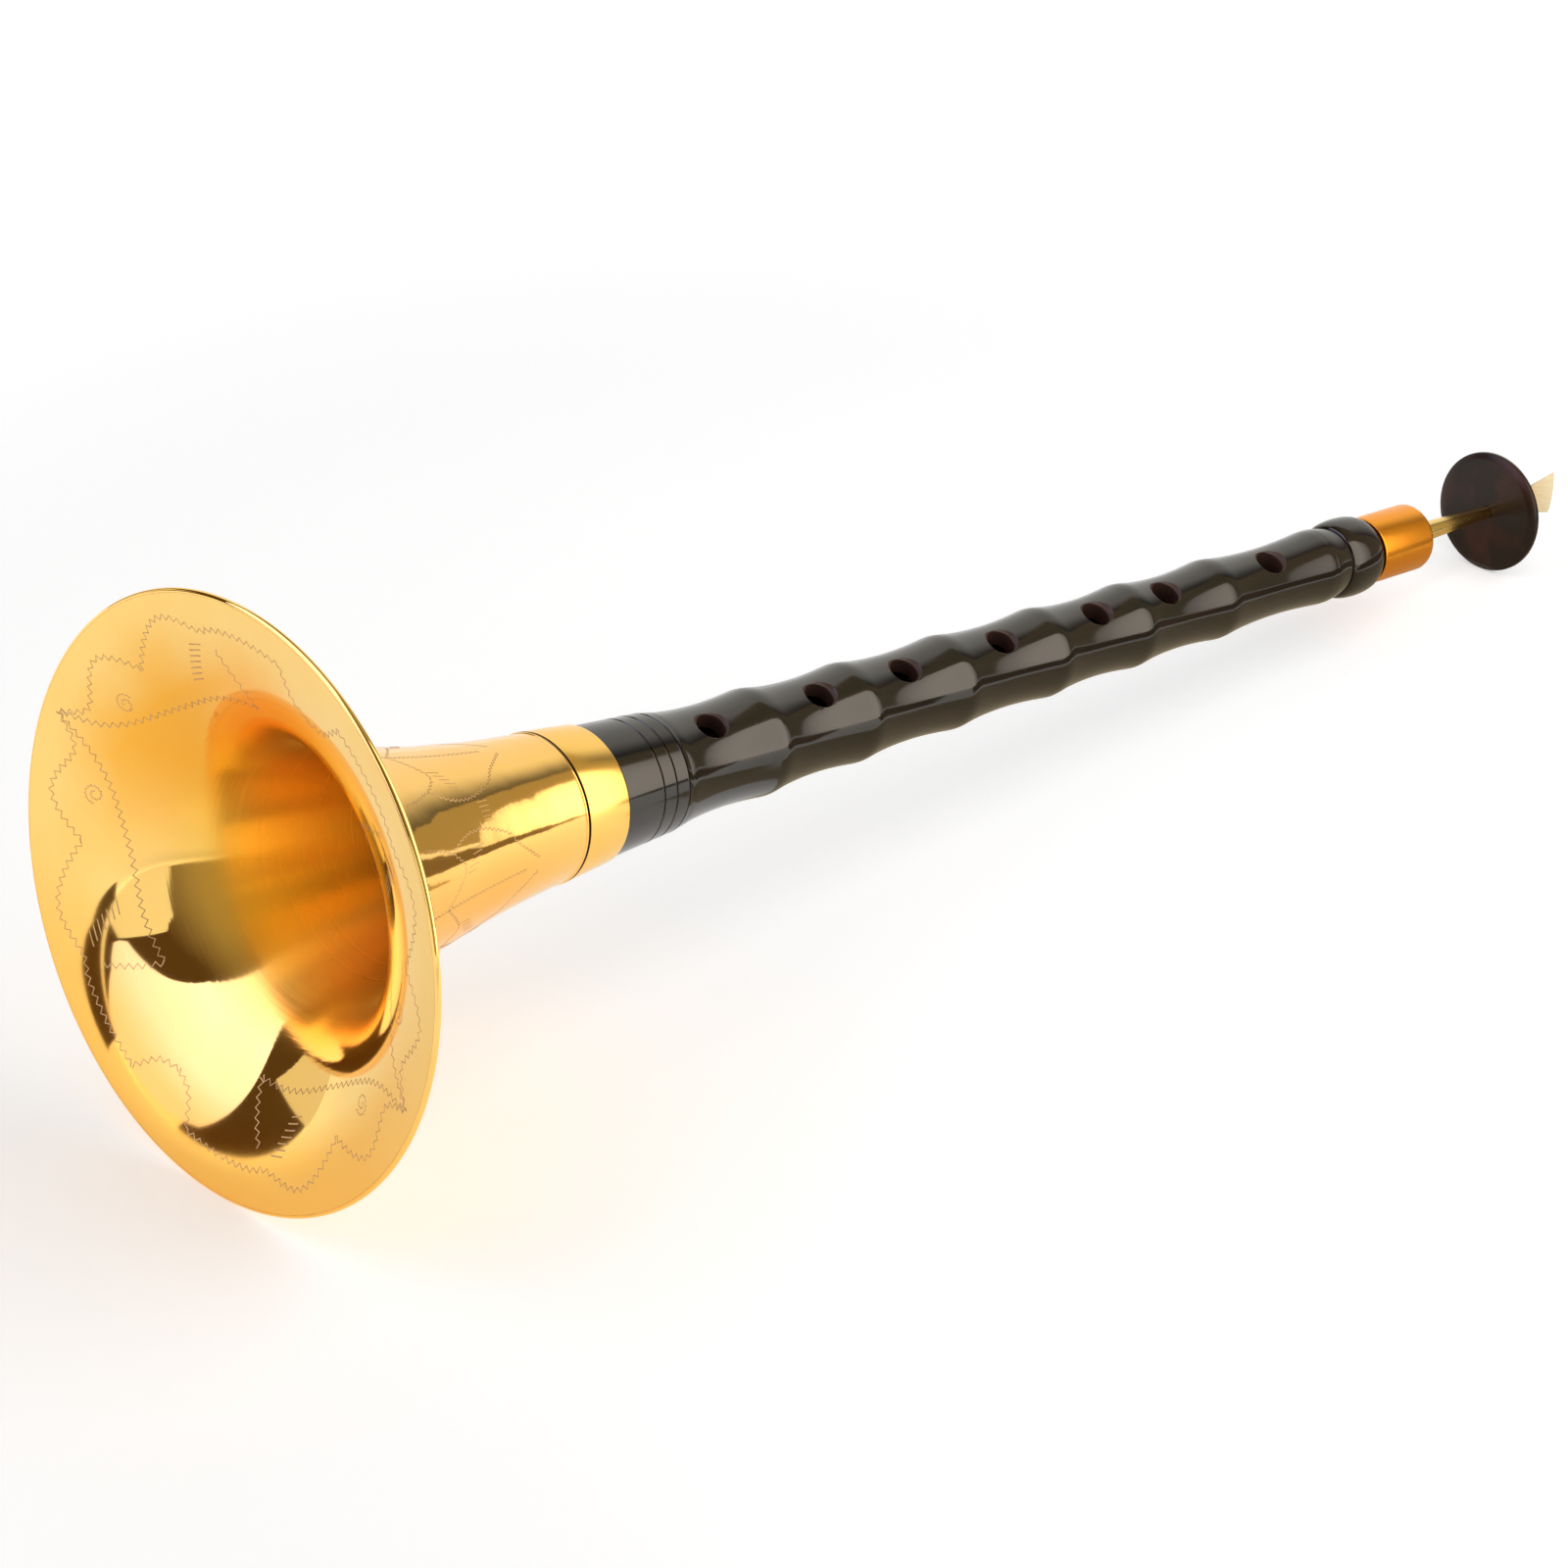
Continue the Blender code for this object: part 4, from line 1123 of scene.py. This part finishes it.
def make_room():
    """Dim walls of the studio, dark gaps between the floor paper and two cards, and a painted dim brown shade on the
    floor under the pipe.
    """
    walls = bmesh.new()
    bmesh.ops.create_cone(walls, cap_ends=True, segments=48, radius1=3.0, radius2=3.0, depth=3.0)
    bmesh.ops.delete(walls, geom=[face for face in walls.faces if face.normal.z < -0.9], context="FACES_ONLY")
    bmesh.ops.translate(walls, verts=walls.verts, vec=(0, 0, 1.5))
    room = flag("studio_room", walls, (0.24, 0.21, 0.14))
    tree = room.data.materials[0].node_tree
    across = tree.nodes.new("ShaderNodeVectorMath")
    across.operation = "DOT_PRODUCT"
    tree.links.new(tree.nodes.new("ShaderNodeTexCoord").outputs["Object"], across.inputs[0])
    across.inputs[1].default_value = (1.0, -1.0, 0.0)
    share = tree.nodes.new("ShaderNodeMapRange")
    tree.links.new(across.outputs["Value"], share.inputs["Value"])
    share.inputs["From Min"].default_value = -2.0
    share.inputs["From Max"].default_value = 1.0
    tones = tree.nodes.new("ShaderNodeValToRGB")
    tree.links.new(share.outputs[0], tones.inputs[0])
    tones.color_ramp.elements[0].color = (0.10, 0.06, 0.025, 1.0)
    tones.color_ramp.elements[1].color = (0.42, 0.36, 0.22, 1.0)
    tree.links.new(tones.outputs[0], tree.nodes["Principled BSDF"].inputs["Emission Color"])
    side = [(AXIS_ON_FLOOR, -0.001), (0.085, -0.13), (0.14, -0.20), (0.19, -0.28), (0.25, -0.35), (0.34, -0.46), (0.9, -0.45)]
    front = [(-0.46, 0.165), (-0.56, 0.17), (-0.71, 0.16), (-0.84, 0.01), (-1.5, 0.05), (-1.5, 0.65)]
    under = [(-0.045, 0.03), (-0.045, -0.045), (-0.01, -0.10), (0.04, -0.105), (0.14, -0.075), (0.25, -0.03), (0.30, -0.001), (0.30, 0.03)]
    # brown is painted shade: the floor under the pipe, dim and brownish, as only reflections see it.
    dark, darker, brown = (0.23, 0.18, 0.11), (0.10, 0.06, 0.025), (0.52, 0.43, 0.29)
    for name, corners, colour in (("side_gap", side, dark), ("front_gap", front, darker), ("painted_shade_under_pipe", under, brown)):
        patch = bmesh.new()
        patch.faces.new([patch.verts.new((x, y, 0.0015)) for x, y in corners])
        flag(name, patch, colour)


def seen(nodes, links):
    """1 where a surface is seen by the camera, in a reflection or through glass, and 0 elsewhere."""
    rays = nodes.new("ShaderNodeLightPath")
    either = nodes.new("ShaderNodeMath")
    either.operation = "MAXIMUM"
    links.new(rays.outputs["Is Camera Ray"], either.inputs[0])
    links.new(rays.outputs["Is Glossy Ray"], either.inputs[1])
    any_of = nodes.new("ShaderNodeMath")
    any_of.operation = "MAXIMUM"
    links.new(either.outputs[0], any_of.inputs[0])
    links.new(rays.outputs["Is Transmission Ray"], any_of.inputs[1])
    return any_of.outputs[0]


def make_floor():
    shape = bmesh.new()
    bmesh.ops.create_grid(shape, x_segments=1, y_segments=1, size=4.0)
    mesh = bpy.data.meshes.new("floor")
    shape.to_mesh(mesh)
    shape.free()
    floor = bpy.data.objects.new("floor", mesh)
    bpy.context.scene.collection.objects.link(floor)
    material = bpy.data.materials.new("floor_paper")
    material.use_nodes = True
    tree = material.node_tree
    surface = tree.nodes["Principled BSDF"]
    surface.inputs["Base Color"].default_value = (0.92, 0.92, 0.92, 1.0)
    surface.inputs["Roughness"].default_value = 1.0
    surface.inputs["Specular IOR Level"].default_value = 0.0
    surface.inputs["Emission Color"].default_value = (1.0, 1.0, 1.0, 1.0)
    reach = tree.nodes.new("ShaderNodeVectorMath")
    reach.operation = "LENGTH"
    tree.links.new(tree.nodes.new("ShaderNodeTexCoord").outputs["Object"], reach.inputs[0])
    whiter = tree.nodes.new("ShaderNodeMapRange")
    whiter.interpolation_type = "SMOOTHSTEP"
    tree.links.new(reach.outputs["Value"], whiter.inputs["Value"])
    whiter.inputs["From Min"].default_value = 0.25
    whiter.inputs["From Max"].default_value = 0.5
    whiter.inputs["To Min"].default_value = NEAR_GLOW
    whiter.inputs["To Max"].default_value = FAR_GLOW
    beyond = tree.nodes.new("ShaderNodeMapRange")
    beyond.interpolation_type = "SMOOTHSTEP"
    tree.links.new(reach.outputs["Value"], beyond.inputs["Value"])
    beyond.inputs["From Min"].default_value = 0.8
    beyond.inputs["From Max"].default_value = 1.5
    beyond.inputs["To Max"].default_value = 0.45
    level_off = tree.nodes.new("ShaderNodeMath")
    tree.links.new(whiter.outputs[0], level_off.inputs[0])
    tree.links.new(beyond.outputs[0], level_off.inputs[1])
    glow = tree.nodes.new("ShaderNodeMath")
    glow.operation = "MULTIPLY"
    tree.links.new(seen(tree.nodes, tree.links), glow.inputs[0])
    tree.links.new(level_off.outputs[0], glow.inputs[1])
    tree.links.new(glow.outputs[0], surface.inputs["Emission Strength"])
    mesh.materials.append(material)


def light_scene():
    world = bpy.data.worlds.new("studio")
    bpy.context.scene.world = world
    world.use_nodes = True
    tree = world.node_tree
    background = tree.nodes["Background"]
    background.inputs["Color"].default_value = (1.0, 1.0, 1.0, 1.0)
    strength = tree.nodes.new("ShaderNodeMapRange")
    tree.links.new(seen(tree.nodes, tree.links), strength.inputs["Value"])
    strength.inputs["To Min"].default_value = WORLD_LIGHT
    tree.links.new(strength.outputs[0], background.inputs["Strength"])
    flat = (1.0, 0.0, 0.0)
    key_place, key_facing, key_down = (-0.888, 0.45, 0.598), (1.0, 0.0, -1.0), (-1.0, 0.0, -1.0)
    far_facing, far_across = (-0.91, -0.42, 0.0), (0.42, -0.91, 0.0)
    near_place, near_facing = (0.44, 1.22, 0.7), (-0.34, -0.94, 0.0)
    low_place, low_facing, low_across = (-1.357, -0.371, 0.24), (0.95, 0.31, -0.1), (0.0, 1.0, 0.0)
    lamp("key_lamp", key_place, key_facing, key_down, 1.5, 0.98, 0.9)
    lamp("side_lamp", (0.20, -0.27, 0.44), (0.0, 0.917, -0.4), along, 0.7, 0.9, 1.44)
    lamp("far_lamp", (1.18, 0.55, 0.7), far_facing, far_across, 1.15, 1.5, 0.34)
    lamp("near_lamp", near_place, near_facing, flat, 1.15, 1.5, 0.34)
    lamp("low_lamp", low_place, low_facing, low_across, 0.69, 0.36, 0.45)
    key_corners = [(-0.80, -0.49), (0.73, -0.49), (0.80, -0.40), (0.845, -0.19), (0.817, -0.07), (0.761, 0.09)]
    key_corners += [(0.747, 0.22), (0.70, 0.28), (0.634, 0.34), (0.25, 0.41), (-0.144, 0.50), (-0.80, 0.50)]
    card("key_card", key_place, key_facing, key_down, key_corners, 1.9, 0.7, 0.68, (1.0, 0.98, 1.4))
    side_corners = [(-0.35, -0.46), (0.45, -0.46), (0.41, -0.10), (0.33, 0.0), (0.20, 0.06), (-0.35, 0.10)]
    card("side_card", (0.20, -0.27, 0.44), (0.0, 0.917, -0.4), along, side_corners, 2.9, 0.375, 0.38, (1.0, 0.94, 0.87))
    card("far_card", (1.26, 0.37, 0.7), far_facing, far_across, oblong(1.55, 1.5), 1.0, 0.5)
    card("near_card", near_place, near_facing, flat, oblong(1.15, 1.5), 1.0)
    card("sweep_card", (-1.50, 0.80, 0.04), flat, (0.0, -1.0, 0.0), oblong(0.30, 0.10), 1.3)
    low_corners = [(0.60, 0.26), (0.59, 0.16), (0.02, -0.25), (-0.22, -0.25), (-0.46, 0.16), (-0.46, 0.26)]
    card("low_card", low_place, low_facing, low_across, low_corners, 1.0)
    card("dim_card", (-0.62, 1.25, 0.22), (0.4, -0.92, -0.1), flat, oblong(0.5, 0.6), 0.85, 0.0, 1.0, (1.0, 0.95, 0.85))


dress()
make_floor()
make_room()
light_scene()

bpy.context.scene.view_settings.view_transform = "Standard"
